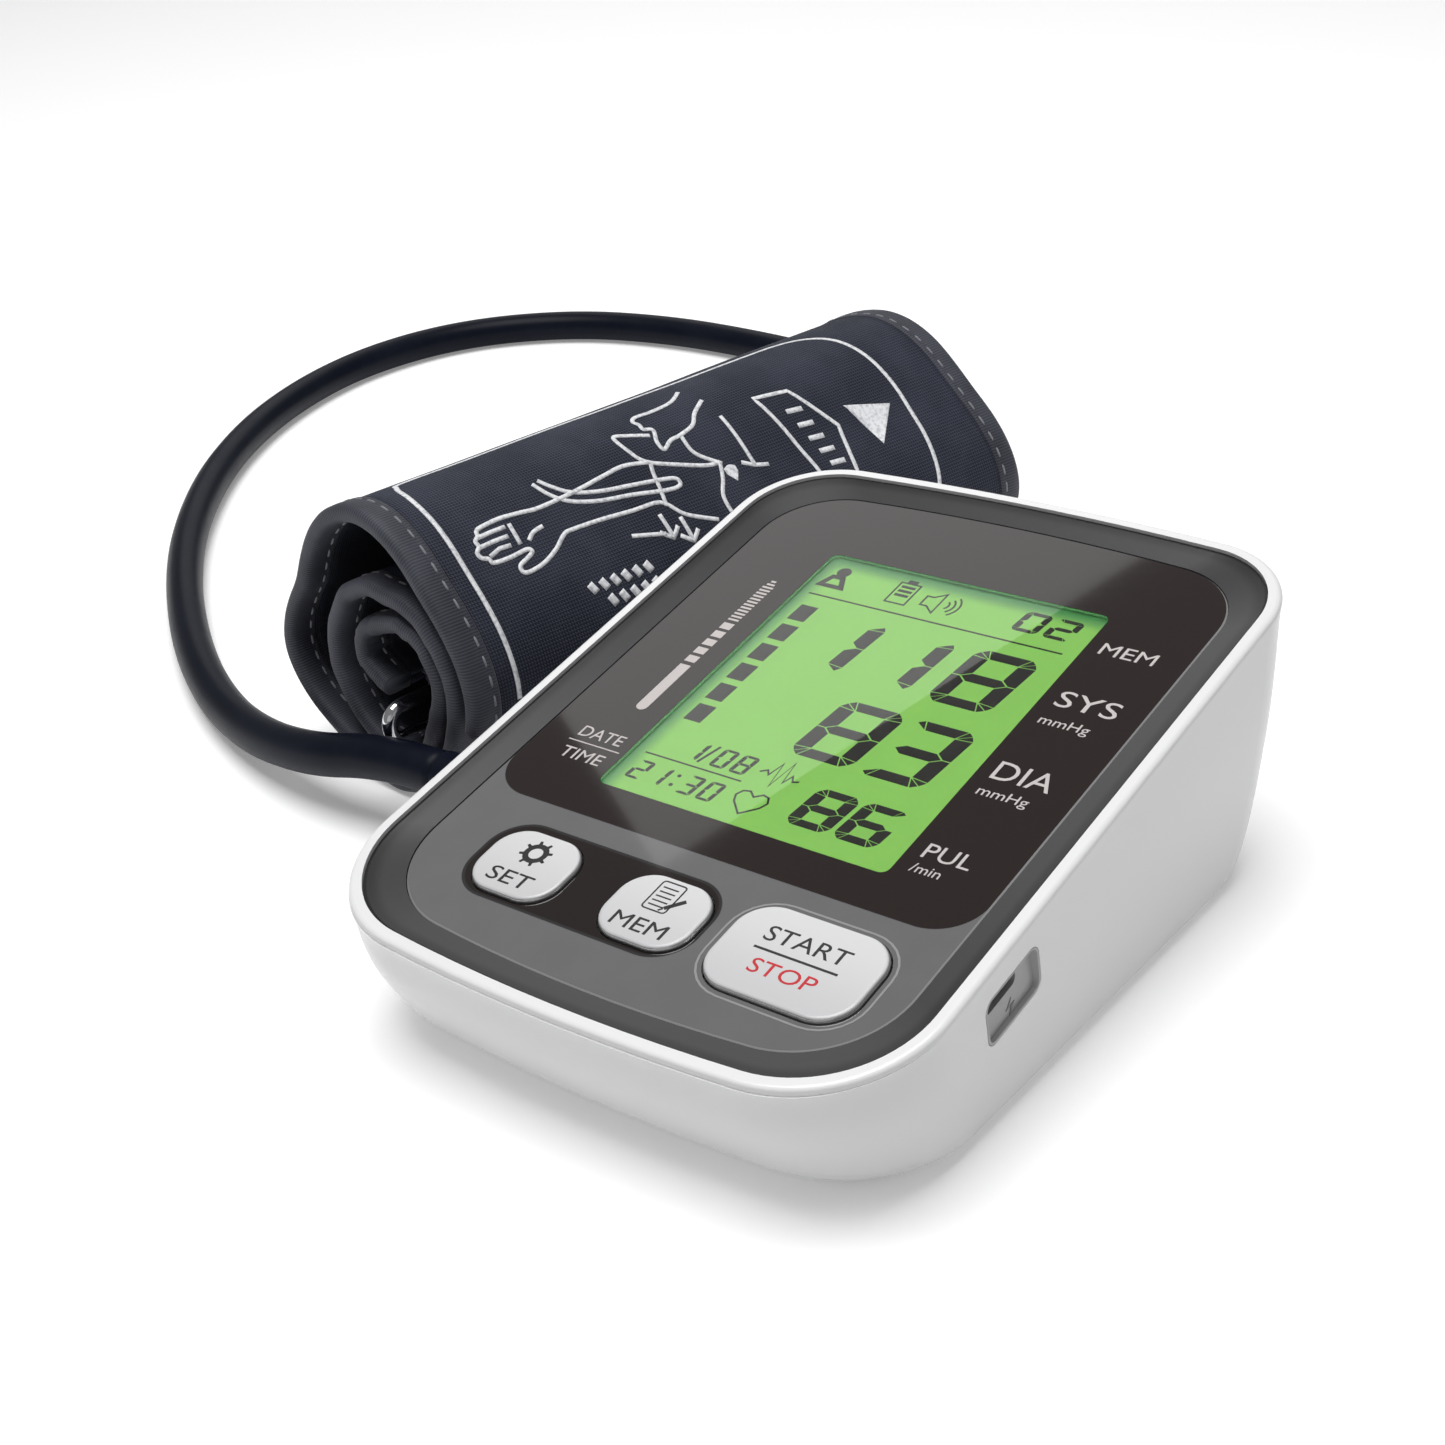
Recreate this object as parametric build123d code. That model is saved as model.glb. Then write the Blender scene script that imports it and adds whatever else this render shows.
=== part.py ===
from build123d import *
import os
from math import atan2, cos, pi, radians, sin, tan

# Upper arm blood pressure monitor: a wedge-shaped tabletop unit, a rolled-up cuff and the air hose that joins them.
# Millimetres. +X right, +Y back, +Z up. The origin is on the table, under the centre of the unit's sloping face.
# "Face coordinates" (u, v, n) lie in the sloping face: u is X, v runs up the slope, n is the outward normal.

# ---- Driving dimensions: tabletop unit ----
SLOPE = 11.7            # slope of the face, degrees
FACE_Z = 37.4           # height of the face plane at its centre
FLOOR_GAP = 1.5         # height of the housing's underside above the table
RIM = 2.15              # width of the white rim round the dark frame
WALL = 2.2              # housing wall
RIM_EDGE = 1.2          # depth of the rounded top band of the rim

FACE_WIDTH = 100.0      # opening in the rim
FACE_FRONT = -67.0
FACE_BACK = 67.0
BULGE_FRONT = 3.6       # how far the middle of the front edge bows out past its ends
BULGE_BACK = 2.6
R_FRONT = 19.8
R_BACK = 15.4

SIDE_TUCK = 3.1         # how far the walls tuck in from the rim to the underside
FRONT_TUCK = 11.2
BACK_TUCK = 8.0
TUCK_POWER = 1.55       # shape of that curve: 1 is a straight chamfer, 2 is a quarter ellipse

FRAME_TOP = -0.6        # dark frame, at the rim
PANEL_TOP = -1.8        # glossy panel
PANEL_THICK = 1.2
FRAME_PLATE = 1.5       # dark frame's plate under the panel
LEDGE_DEPTH = 2.0
LEDGE_WIDTH = 2.5
BOARD_TOP = -8.3        # circuit board
BOARD_THICK = 1.6
BOARD_POSTS = [(-40.0, 20.0), (40.0, 20.0), (-40.0, -18.0), (40.0, -18.0)]
BOSS_DROP = 12.0        # how far below the face the screw bosses end

PANEL_WIDTH = 89.5
PANEL_FRONT = -61.7
PANEL_BACK = 62.3
PANEL_R_FRONT = 17.5
PANEL_R_BACK = 14.0

WINDOW = (54.4, 68.0)   # clear display window: width, height
WINDOW_V = 10.5
WINDOW_R = 1.5
LCD_SIZE = (60.0, 75.0, 2.2)
LCD_V = 10.0
LCD_TOP = -3.1
BACKLIGHT_SIZE = (58.0, 69.0, 2.8)
BACKLIGHT_V = 12.0

# Buttons: name -> (u centre, width, height, corner radius). They share one row.
BUTTONS = {
    "set_button": (-24.0, 16.4, 14.0, 5.5),
    "memory_button": (1.0, 16.4, 14.0, 5.5),
    "start_stop_button": (26.0, 25.7, 17.5, 6.0),
}
BUTTON_V = -44.5
BUTTON_TOP = -0.9
BUTTON_EDGE = 0.75      # rounding of a button's top edge
BUTTON_GAP = 0.25       # clearance round a button
BUTTON_FOOT = -6.8      # underside of a button at rest
BUTTON_TRAVEL = 0.6
FLANGE = 0.8            # flange that keeps a button in

USB_V = -32.7           # middle of the charging socket
USB_N = -6.9
USB_BEZEL_V = -30.9
USB_BEZEL_N = -9.2
USB_BEZEL_SIZE = (14.2, 8.5)
USB_FLOOR_X = 50.9      # floor of the recess round the socket

AIR_Y = -13.0           # air socket on the left wall
AIR_Z = 15.0
AIR_FACE_X = -52.6

CELL_R = 7.1
CELL_LENGTH = 49.5
CELL_PITCH = 14.7
CELL_COUNT = 4
BAY_CENTRE = (11.1, 16.6)
BAY_INNER = (59.0, 58.0)
BAY_WALL = 1.4
BAY_CEILING = 20.2
DOOR_THICK = 2.0
DOOR_PIVOT_IN = 1.1     # the door's pivot line, from the bay's front wall

BASE_TOP = 3.5
SCREW_PLACES = [(-41.0, -40.0), (41.0, -40.0), (-36.0, 48.0), (30.0, 51.2)]
FOOT_PLACES = [(-37.0, -46.0), (37.0, -46.0), (-24.0, 51.0), (38.0, 50.0)]
FOOT_R = 3.6

PUMP_X = -34.0
PUMP_Z = 16.5
PUMP_R = 11.8
CRADLE_PLACES = (21.0, 38.0)
MANIFOLD = (-34.0, AIR_Y, AIR_Z)
MANIFOLD_SIZE = 5.2

# ---- Driving dimensions: cuff and hose ----
CUFF_START = (-102.0, -3.0)   # where the roll's section origin stands at its near end
CUFF_TURN = 6.0               # the roll's axis, degrees clockwise from +Y
CUFF_WIDTH = 141.0
ROLL_START = -20.0            # angle of the outer free end, degrees
# The rolled strip's midline: (turns from the outer end, half width, half height, centre s, centre z)
ROLL_NEAR = [
    (0.00, 26.5, 26.4, 4.7, 28.1),
    (0.80, 26.5, 26.4, 4.7, 28.1),
    (1.00, 17.0, 17.0, 8.5, 24.3),
    (1.50, 17.0, 17.0, 8.5, 24.3),
    (1.80, 14.5, 16.0, 9.0, 24.2),
    (2.00, 12.2, 13.8, 9.0, 25.2),
    (2.30, 10.2, 6.8, 10.7, 28.4),
    (2.75, 10.2, 6.8, 10.7, 28.4),
]
ROLL_FAR = [
    (0.00, 33.5, 26.0, 12.2, 27.7),
    (0.80, 33.5, 26.0, 12.2, 27.7),
    (1.00, 22.0, 17.0, 15.0, 24.3),
    (1.50, 23.0, 17.0, 16.0, 24.3),
    (1.80, 19.5, 16.0, 15.0, 24.2),
    (2.00, 16.0, 13.8, 14.0, 25.2),
    (2.30, 13.0, 6.8, 12.0, 28.4),
    (2.75, 13.0, 6.8, 12.0, 28.4),
]
# The outer turn is slack and cornered: (turns, share of the ellipse's radius at the near end, and at the far end)
ROLL_FORM = [
    (0.00, 1.00, 0.98),
    (0.17, 0.87, 0.83),
    (0.31, 1.02, 1.05),
    (0.48, 0.83, 0.92),
    (0.60, 1.04, 1.03),
    (0.73, 0.92, 0.96),
    (0.82, 1.00, 1.00),
]
ROLL_TURNS = 2.75
STRIP_POINTS = 16             # spline points per turn
FABRIC_OUT = 1.4              # outer fabric, bladder and inner fabric, measured from the midline
FABRIC_IN = 0.5
BLADDER_HALF = 0.4
BINDING_HALF = 1.7
BINDING_WIDTH = 6.0

BAR_HOLD = (10.8, 19.6)       # the long side of the metal bar that the webbing holds: s, z
BAR_TILT = 0.0                # lean of the bar from hanging straight down, degrees
BAR_REACH = 6.4               # distance between the bar's long sides
BAR_WIRE_R = 1.4
BAR_OVERHANG = 4.2            # how far the bar stands out past each edge of the cuff
WEBBING_R = 2.7

PORT_S = -14.4                # air port at the far end of the roll
PORT_Z = 23.0
HOSE_R = 4.1
HOSE_BORE_R = 2.0
HOSE_REST_Z = HOSE_R
SLEEVE_LENGTH = 12.0          # rubber sleeve between the cuff and the hose
# The hose's route, from the plug to the cuff. It lies on the table except near its ends.
HOSE_ROUTE = [
    (-72.0, AIR_Y, AIR_Z),
    (-86.0, AIR_Y, AIR_Z),
    (-108.0, -14.0, 9.5),
    (-136.0, -6.5, 4.8),
    (-165.0, 8.0, HOSE_REST_Z),
    (-199.0, 32.5, HOSE_REST_Z),
    (-230.0, 61.0, HOSE_REST_Z),
    (-258.0, 96.0, HOSE_REST_Z),
    (-277.0, 133.0, HOSE_REST_Z),
    (-285.0, 171.0, HOSE_REST_Z),
    (-277.0, 205.0, HOSE_REST_Z),
    (-252.5, 228.0, HOSE_REST_Z),
    (-221.0, 236.0, HOSE_REST_Z),
    (-187.0, 235.5, HOSE_REST_Z),
    (-153.0, 229.0, 4.8),
    (-125.0, 216.0, 9.5),
    (-106.0, 198.0, 17.0),
    (-97.72, 175.53, PORT_Z),
    (-100.33, 150.67, PORT_Z),
]

# ---- Derived values and frames ----
BOTTOM_Z = FLOOR_GAP
FRAME_UNDER = PANEL_TOP - PANEL_THICK - FRAME_PLATE
LEDGE_UNDER = FRAME_UNDER - LEDGE_DEPTH
BOARD_UNDER = BOARD_TOP - BOARD_THICK
CELL_Z = BOTTOM_Z + DOOR_THICK + 0.6 + CELL_R
FACE = Plane(origin=(0, 0, FACE_Z), x_dir=(1, 0, 0), z_dir=(0, -sin(radians(SLOPE)), cos(radians(SLOPE))))
CUFF_AXIS = Vector(sin(radians(CUFF_TURN)), cos(radians(CUFF_TURN)), 0)
CUFF_SIDE = Vector(cos(radians(CUFF_TURN)), -sin(radians(CUFF_TURN)), 0)
CUFF_ORIGIN = Vector(CUFF_START[0], CUFF_START[1], 0)

parts = {}


def face_to_world(u, v, n):
    """A point given in face coordinates, in the part's frame."""
    a = radians(SLOPE)
    return Vector(u, v * cos(a) - n * sin(a), FACE_Z + v * sin(a) + n * cos(a))


def world_to_face(y, z):
    """The (v, n) of a point of the part's YZ plane."""
    a = radians(SLOPE)
    return y * cos(a) + (z - FACE_Z) * sin(a), -y * sin(a) + (z - FACE_Z) * cos(a)


def bowed_outline(width, front, back, bow_front, bow_back, r_front, r_back):
    """Rounded rectangle whose front and back edges bow outwards. front and back are at the middle of the edge."""
    w = width / 2
    low, high = front + bow_front, back - bow_back
    edges = [
        ThreePointArc((-w, low), (0, front), (w, low)),
        Line((w, low), (w, high)),
        ThreePointArc((w, high), (0, back), (-w, high)),
        Line((-w, high), (-w, low)),
    ]
    sketch = make_face(edges)
    sketch = fillet(sketch.vertices().sort_by(Axis.Y)[:2], r_front)
    return fillet(sketch.vertices().sort_by(Axis.Y)[-2:], r_back)


def face_outline(grow=0.0):
    """Outline of the rim's opening, grown by a margin all round."""
    return bowed_outline(FACE_WIDTH + 2 * grow, FACE_FRONT - grow, FACE_BACK + grow, BULGE_FRONT, BULGE_BACK,
                         R_FRONT + grow, R_BACK + grow)


def panel_outline(grow=0.0):
    """Outline of the glossy panel, grown by a margin all round."""
    return bowed_outline(PANEL_WIDTH + 2 * grow, PANEL_FRONT - grow, PANEL_BACK + grow, BULGE_FRONT, BULGE_BACK,
                         PANEL_R_FRONT + grow, PANEL_R_BACK + grow)


def slab(sketch, low, high):
    """A prism on a sketch, between two levels of its own normal."""
    return extrude(Pos(0, 0, low) * sketch, amount=high - low)


def on_face(shape):
    """Moves a shape from face coordinates to the part's frame."""
    return FACE * shape


def body_loft(top_n, bottom_z, side, front, back):
    """The housing's tucked-in form between the plane n = top_n and a level, drawn in by side, front and back."""
    top_z = FACE_Z + top_n / cos(radians(SLOPE))
    half_plan = (FACE_BACK + RIM) * cos(radians(SLOPE))
    sections = []
    for share in (0.0, 0.3, 0.55, 0.75, 0.9, 1.0):
        tuck = 1 - (1 - share ** TUCK_POWER) ** (1 / TUCK_POWER)
        tilt = atan2((1 - share) * tan(radians(SLOPE)), 1)
        level = (1 - share) * top_z + share * bottom_z
        y_front = -half_plan + FRONT_TUCK * tuck + front
        y_back = half_plan - BACK_TUCK * tuck - back
        outline = bowed_outline(
            FACE_WIDTH + 2 * RIM - 2 * SIDE_TUCK * tuck - 2 * side, y_front / cos(tilt), y_back / cos(tilt),
            BULGE_FRONT, BULGE_BACK, R_FRONT + RIM - 2 * tuck - side, R_BACK + RIM - tuck - side)
        plane = Plane(origin=(0, 0, level), x_dir=(1, 0, 0), z_dir=(0, -sin(tilt), cos(tilt)))
        sections.append(plane * outline)
    return loft(sections)


def rounded_box(width, depth, low, high, radius):
    """An upright box with rounded vertical corners, centred on the origin."""
    return slab(RectangleRounded(width, depth, radius), low, high)


def cylinder_between(start, end, radius):
    """A round bar from one point to another."""
    start, end = Vector(*start), Vector(*end)
    run = end - start
    plane = Plane(origin=start, z_dir=run)
    return extrude(plane * Circle(radius), amount=run.length)


def pipe_between(start, end, outer, inner):
    """A straight tube from one point to another."""
    return cylinder_between(start, end, outer) - cylinder_between(start, end, inner)


# ---- Housing ----
def make_outer_form():
    """The housing's whole outer form, with its rounded rim."""
    rim = slab(face_outline(RIM), -RIM_EDGE, 0)
    rim = fillet(rim.edges().group_by(Axis.Z)[-1], 0.95)
    return body_loft(-RIM_EDGE, BOTTOM_Z, 0, 0, 0) + on_face(rim)


def usb_opening(grow, low_x, high_x):
    """Block in the shape of the recess round the charging socket, square to the face's slope."""
    width, height = USB_BEZEL_SIZE
    outline = RectangleRounded(width + 2 * grow, height + 2 * grow, 2.0 + grow)
    centre = face_to_world(low_x, USB_BEZEL_V, USB_BEZEL_N)
    plane = Plane(origin=centre, x_dir=(0, cos(radians(SLOPE)), sin(radians(SLOPE))), z_dir=(1, 0, 0))
    return extrude(plane * outline, amount=high_x - low_x)


def make_upper_shell(outer):
    """White upper shell: rim, walls, the ledge that carries the dark frame, and four screw bosses."""
    opening = on_face(slab(face_outline(), FRAME_UNDER, 5))
    ledge_opening = on_face(slab(face_outline(-LEDGE_WIDTH), LEDGE_UNDER - 0.5, 5))
    cavity = body_loft(LEDGE_UNDER, BOTTOM_Z - 0.5, WALL, WALL + 1.2, WALL + 0.8)
    shell = outer - opening - ledge_opening - cavity
    web_length, web_foot = 22.0, 9.0
    for x, y in SCREW_PLACES:
        top = FACE_Z + y * tan(radians(SLOPE)) - BOSS_DROP
        boss = cylinder_between((x, y, BASE_TOP + 0.3), (x, y, top), 3.1)
        web_x = web_length / 2 if x > 0 else -web_length / 2
        web = Pos(x + web_x, y, (top + web_foot) / 2) * Box(web_length, 1.4, top - web_foot)
        shell += (boss + web) & outer
    for x, y in SCREW_PLACES:
        shell -= cylinder_between((x, y, BASE_TOP), (x, y, 14), 1.15)
    shell -= usb_opening(0.1, 45, 60)
    shell -= cylinder_between((-60, AIR_Y, AIR_Z), (-45, AIR_Y, AIR_Z), 5.6)
    return shell


def make_base_outline():
    """Underside opening of the upper shell, as a sketch."""
    half_plan = (FACE_BACK + RIM) * cos(radians(SLOPE))
    gap = 0.25
    return bowed_outline(
        FACE_WIDTH + 2 * RIM - 2 * SIDE_TUCK - 2 * (WALL + gap), -half_plan + FRONT_TUCK + WALL + 1.2 + gap,
        half_plan - BACK_TUCK - WALL - 0.8 - gap, BULGE_FRONT, BULGE_BACK,
        R_FRONT + RIM - 2 - WALL - gap, R_BACK + RIM - 1 - WALL - gap)


def make_base_cover():
    """Base cover: floor plate, battery bay, screw wells, foot recesses and the pump's cradle."""
    bay_x, bay_y = BAY_CENTRE
    inner_x, inner_y = BAY_INNER
    plate = slab(make_base_outline(), BOTTOM_Z, BASE_TOP)
    tub = Pos(bay_x, bay_y) * rounded_box(inner_x + 2 * BAY_WALL, inner_y + 2 * BAY_WALL, BASE_TOP,
                                          BAY_CEILING + BAY_WALL, 2)
    cover = plate + tub
    cover -= Pos(bay_x, bay_y) * rounded_box(inner_x, inner_y, BOTTOM_Z + DOOR_THICK + 0.2, BAY_CEILING, 1)
    cover -= Pos(bay_x, bay_y) * rounded_box(inner_x + 0.6, inner_y + 0.6, BOTTOM_Z - 1, BOTTOM_Z + DOOR_THICK + 0.2, 1)
    for y in CRADLE_PLACES:
        cradle = Pos(PUMP_X, y, (BASE_TOP + PUMP_Z) / 2) * Box(22, 2, PUMP_Z - BASE_TOP)
        cover += cradle - cylinder_between((PUMP_X, 0, PUMP_Z), (PUMP_X, 60, PUMP_Z), PUMP_R + 0.1)
    for x, y in SCREW_PLACES:
        cover -= cylinder_between((x, y, BOTTOM_Z - 1), (x, y, BASE_TOP + 1), 1.6)
        cover -= cylinder_between((x, y, BOTTOM_Z - 1), (x, y, BOTTOM_Z + 1.0), 2.9)
    for x, y in FOOT_PLACES:
        cover -= cylinder_between((x, y, BOTTOM_Z - 1), (x, y, BOTTOM_Z + 0.3), FOOT_R + 0.1)
    return cover


def make_battery_door():
    """Battery door: a plate that turns on a rolled bead along its front edge, with a snap tongue at the back."""
    bay_x, bay_y = BAY_CENTRE
    width = BAY_INNER[0] - 0.2
    front = bay_y - BAY_INNER[1] / 2 + DOOR_PIVOT_IN
    back = bay_y + BAY_INNER[1] / 2
    middle_z = BOTTOM_Z + DOOR_THICK / 2
    plate = Pos(bay_x, (front + back) / 2, middle_z) * Box(width, back - front, DOOR_THICK)
    bead = cylinder_between((bay_x - width / 2, front, middle_z), (bay_x + width / 2, front, middle_z), DOOR_THICK / 2)
    tongue = Pos(bay_x, back - 1.6, BOTTOM_Z + DOOR_THICK + 0.7) * Box(6, 1.2, 1.6)
    grip = Pos(bay_x, back - 8, BOTTOM_Z) * Box(16, 5, 1.2)
    return plate + bead + tongue - grip


# ---- Face ----
def make_face_frame():
    """Dark front frame: bevelled border, a recess for the panel, display and button openings, board posts."""
    frame = slab(face_outline(-0.1), FRAME_UNDER, FRAME_TOP)
    frame -= slab(panel_outline(0.1), PANEL_TOP - PANEL_THICK, 0)
    bevel = loft([Pos(0, 0, PANEL_TOP) * panel_outline(0.1), Pos(0, 0, FRAME_TOP + 0.01) * face_outline(-0.5)],
                 ruled=True)
    frame -= bevel
    frame -= Pos(0, LCD_V) * slab(RectangleRounded(LCD_SIZE[0] + 0.6, LCD_SIZE[1] + 0.6, 1), FRAME_UNDER - 1, 0)
    for u, width, height, radius in BUTTONS.values():
        hole = RectangleRounded(width + 2 * BUTTON_GAP, height + 2 * BUTTON_GAP, radius + BUTTON_GAP)
        frame -= Pos(u, BUTTON_V) * slab(hole, FRAME_UNDER - 1, 0)
    for u, v in BOARD_POSTS:
        frame += Pos(u, v) * slab(Circle(2.4), BOARD_TOP, FRAME_UNDER)
        frame -= Pos(u, v) * slab(Circle(0.9), BOARD_TOP - 1, FRAME_UNDER - 0.5)
    return on_face(frame)


def make_front_panel():
    """Glossy printed panel with the display window's opening and three button openings."""
    panel = slab(panel_outline(), PANEL_TOP - PANEL_THICK, PANEL_TOP)
    panel = chamfer(panel.edges().group_by(Axis.Z)[-1], 0.25)
    panel -= Pos(0, WINDOW_V) * slab(RectangleRounded(*WINDOW, WINDOW_R), -9, 0)
    for u, width, height, radius in BUTTONS.values():
        hole = RectangleRounded(width + 2 * BUTTON_GAP, height + 2 * BUTTON_GAP, radius + BUTTON_GAP)
        panel -= Pos(u, BUTTON_V) * slab(hole, -9, 0)
    return on_face(panel)


def make_display_window():
    """Clear window, flush in the panel's opening."""
    outline = RectangleRounded(WINDOW[0] - 0.1, WINDOW[1] - 0.1, WINDOW_R)
    return on_face(Pos(0, WINDOW_V) * slab(outline, PANEL_TOP - 1.0, PANEL_TOP - 0.02))


def make_button(u, width, height, radius):
    """Push button: crowned cap, retaining flange and foot."""
    cap = slab(RectangleRounded(width, height, radius), BUTTON_FOOT + 1, BUTTON_TOP)
    cap = fillet(cap.edges().group_by(Axis.Z)[-1], BUTTON_EDGE)
    flange_top = FRAME_UNDER - 0.15
    flange = slab(RectangleRounded(width + 2 * FLANGE, height + 2 * FLANGE, radius), flange_top - 0.8, flange_top)
    foot = slab(Circle(3.0), BUTTON_FOOT, BUTTON_FOOT + 1.2)
    return on_face(Pos(u, BUTTON_V) * (cap + flange + foot))


def make_keypad():
    """Rubber keypad: one sheet with a dome under each button."""
    sheet = Pos(2.5, BUTTON_V) * slab(RectangleRounded(72, 16, 3), BOARD_TOP, BOARD_TOP + 0.5)
    for u, _, _, _ in BUTTONS.values():
        dome = slab(Circle(4.5), BOARD_TOP, BUTTON_FOOT - BUTTON_TRAVEL - 0.1)
        dome = chamfer(dome.edges().group_by(Axis.Z)[-1], 0.3)
        sheet += Pos(u, BUTTON_V) * dome
    return on_face(sheet)


def make_lcd():
    return on_face(Pos(0, LCD_V) * slab(Rectangle(LCD_SIZE[0], LCD_SIZE[1]), LCD_TOP - LCD_SIZE[2], LCD_TOP))


def make_backlight():
    top = LCD_TOP - LCD_SIZE[2]
    light = Pos(0, BACKLIGHT_V) * slab(Rectangle(BACKLIGHT_SIZE[0], BACKLIGHT_SIZE[1]), top - BACKLIGHT_SIZE[2], top)
    return on_face(light)


def make_zebra_strip():
    """Striped rubber connector between the display's lower edge and the board."""
    v = LCD_V - LCD_SIZE[1] / 2 + 1.6
    return on_face(Pos(0, v) * slab(Rectangle(52, 2), BOARD_TOP, LCD_TOP - LCD_SIZE[2]))


# ---- Board ----
def make_circuit_board():
    """Circuit board, parallel to the face, with a tab for the charging socket."""
    board = slab(RectangleRounded(84, 108, 3), BOARD_UNDER, BOARD_TOP)
    board += Pos(44, USB_V) * slab(Rectangle(9, 12), BOARD_UNDER, BOARD_TOP)
    for u, v in BOARD_POSTS:
        board -= Pos(u, v) * slab(Circle(1.1), BOARD_UNDER - 1, BOARD_TOP + 1)
    return on_face(board)


def make_board_screws():
    """Small screws that hold the board to the frame's posts."""
    screws = []
    for u, v in BOARD_POSTS:
        head = slab(Circle(1.9), BOARD_UNDER - 1.2, BOARD_UNDER)
        shank = slab(Circle(0.85), BOARD_UNDER, BOARD_TOP + 2.4)
        screws.append(on_face(Pos(u, v) * (head + shank)))
    return Compound(children=screws)


def make_usb_socket():
    """Metal charging socket on the board's edge."""
    u, v, n = 47.2, USB_V, USB_N
    shell = Pos(u, v, n) * Box(5.8, 7.5, 2.7)
    shell = fillet(shell.edges().filter_by(Axis.X), 0.8)
    mouth = Pos(u + 0.5, v, n) * Box(5.6, 6.9, 1.9)
    mouth = fillet(mouth.edges().filter_by(Axis.X), 0.5)
    tongue = Pos(u - 0.4, v, n + 0.35) * Box(4.4, 4.0, 0.6)
    return on_face(shell - mouth + tongue)


def make_usb_bezel(outer):
    """Grey insert in the right wall: a recessed tray with the socket's opening."""
    tray = usb_opening(0, 49.2, 60) & outer
    width, height = USB_BEZEL_SIZE
    slope_dir = (0, cos(radians(SLOPE)), sin(radians(SLOPE)))
    low = Plane(origin=face_to_world(USB_FLOOR_X, USB_BEZEL_V, USB_BEZEL_N), x_dir=slope_dir, z_dir=(1, 0, 0))
    high = Plane(origin=face_to_world(52.6, USB_BEZEL_V, USB_BEZEL_N), x_dir=slope_dir, z_dir=(1, 0, 0))
    dish = loft([low * RectangleRounded(width - 1.6, height - 1.2, 1.3),
                 high * RectangleRounded(width - 0.3, height - 0.3, 1.8)], ruled=True)
    slot_plane = Plane(origin=face_to_world(45, USB_V, USB_N), x_dir=slope_dir, z_dir=(1, 0, 0))
    slot = extrude(slot_plane * RectangleRounded(8.2, 3.2, 1.2), amount=10)
    return tray - dish - slot


# ---- Power ----
def make_battery_contacts():
    """Flat contact plates at one end of the bay and coil springs, shown as cones, at the other."""
    bay_x, bay_y = BAY_CENTRE
    plates, springs = [], []
    for index in range(CELL_COUNT):
        x = bay_x + (index - (CELL_COUNT - 1) / 2) * CELL_PITCH
        side = 1 if index % 2 else -1
        end_y = bay_y + side * (BAY_INNER[1] / 2 - 0.35)
        plates.append(Pos(x, end_y, CELL_Z) * Box(10, 0.6, 9))
        far_y = bay_y - side * (BAY_INNER[1] / 2 - 0.05)
        tip_y = far_y - (-side) * 5.6
        springs.append(make_contact_spring(x, far_y, tip_y))
    return Compound(children=plates), Compound(children=springs)


def make_contact_spring(x, wall_y, tip_y):
    """A conical contact spring of round wire, from the bay's wall to the cell."""
    turns = 3
    length = abs(tip_y - wall_y) - 0.8
    direction = 1 if tip_y > wall_y else -1
    path = Helix(pitch=length / turns, height=length, radius=4.2, cone_angle=-18)
    wire = sweep(Plane(origin=path @ 0, z_dir=path % 0) * Circle(0.32), path=path, is_frenet=True)
    place = Plane(origin=(x, wall_y + direction * 0.4, CELL_Z), z_dir=(0, direction, 0))
    return place * wire


def make_cell(index):
    """One AA cell, nub towards its flat contact."""
    bay_x, bay_y = BAY_CENTRE
    x = bay_x + (index - (CELL_COUNT - 1) / 2) * CELL_PITCH
    side = 1 if index % 2 else -1
    nub_end = bay_y + side * (BAY_INNER[1] / 2 - 0.8)
    body_end = nub_end - side * 1.2
    body = cylinder_between((x, body_end, CELL_Z), (x, body_end - side * CELL_LENGTH, CELL_Z), CELL_R)
    body = fillet(body.edges(), 0.5)
    nub = cylinder_between((x, body_end - side * 0.3, CELL_Z), (x, nub_end, CELL_Z), 2.7)
    return body + nub


# ---- Air system ----
def make_pump():
    """Air pump: a round motor and a diaphragm head with an outlet."""
    motor = cylinder_between((PUMP_X, 18, PUMP_Z), (PUMP_X, 43, PUMP_Z), PUMP_R)
    motor = fillet(motor.edges(), 1)
    motor += cylinder_between((PUMP_X, 42, PUMP_Z), (PUMP_X, 44.5, PUMP_Z), 3)
    head = Pos(PUMP_X, 11, PUMP_Z) * Box(22, 13.6, 22)
    head = fillet(head.edges().filter_by(Axis.Y), 4)
    nozzle = pipe_between((MANIFOLD[0], 5, AIR_Z), (MANIFOLD[0], -3, AIR_Z), 1.5, 0.8)
    return motor, head + nozzle


def manifold_arms():
    """Ends of the manifold's four arms: to the socket, the pump, the valve and, square to the board, the sensor."""
    x, y, z = MANIFOLD
    v, n = world_to_face(y, z)
    reach = 6.5
    return [(x - reach, y, z), (x, y + reach, z), (x, y - reach, z), tuple(face_to_world(x, v, n + 3.7))]


def make_manifold():
    """Four-way joint of the air system."""
    joint = fillet(Box(MANIFOLD_SIZE, MANIFOLD_SIZE, MANIFOLD_SIZE).edges(), 0.8)
    joint = Pos(*MANIFOLD) * joint
    for end in manifold_arms():
        joint += cylinder_between(MANIFOLD, end, 1.5)
    for end in manifold_arms():
        joint -= cylinder_between(MANIFOLD, end, 0.8)
    return joint


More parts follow.
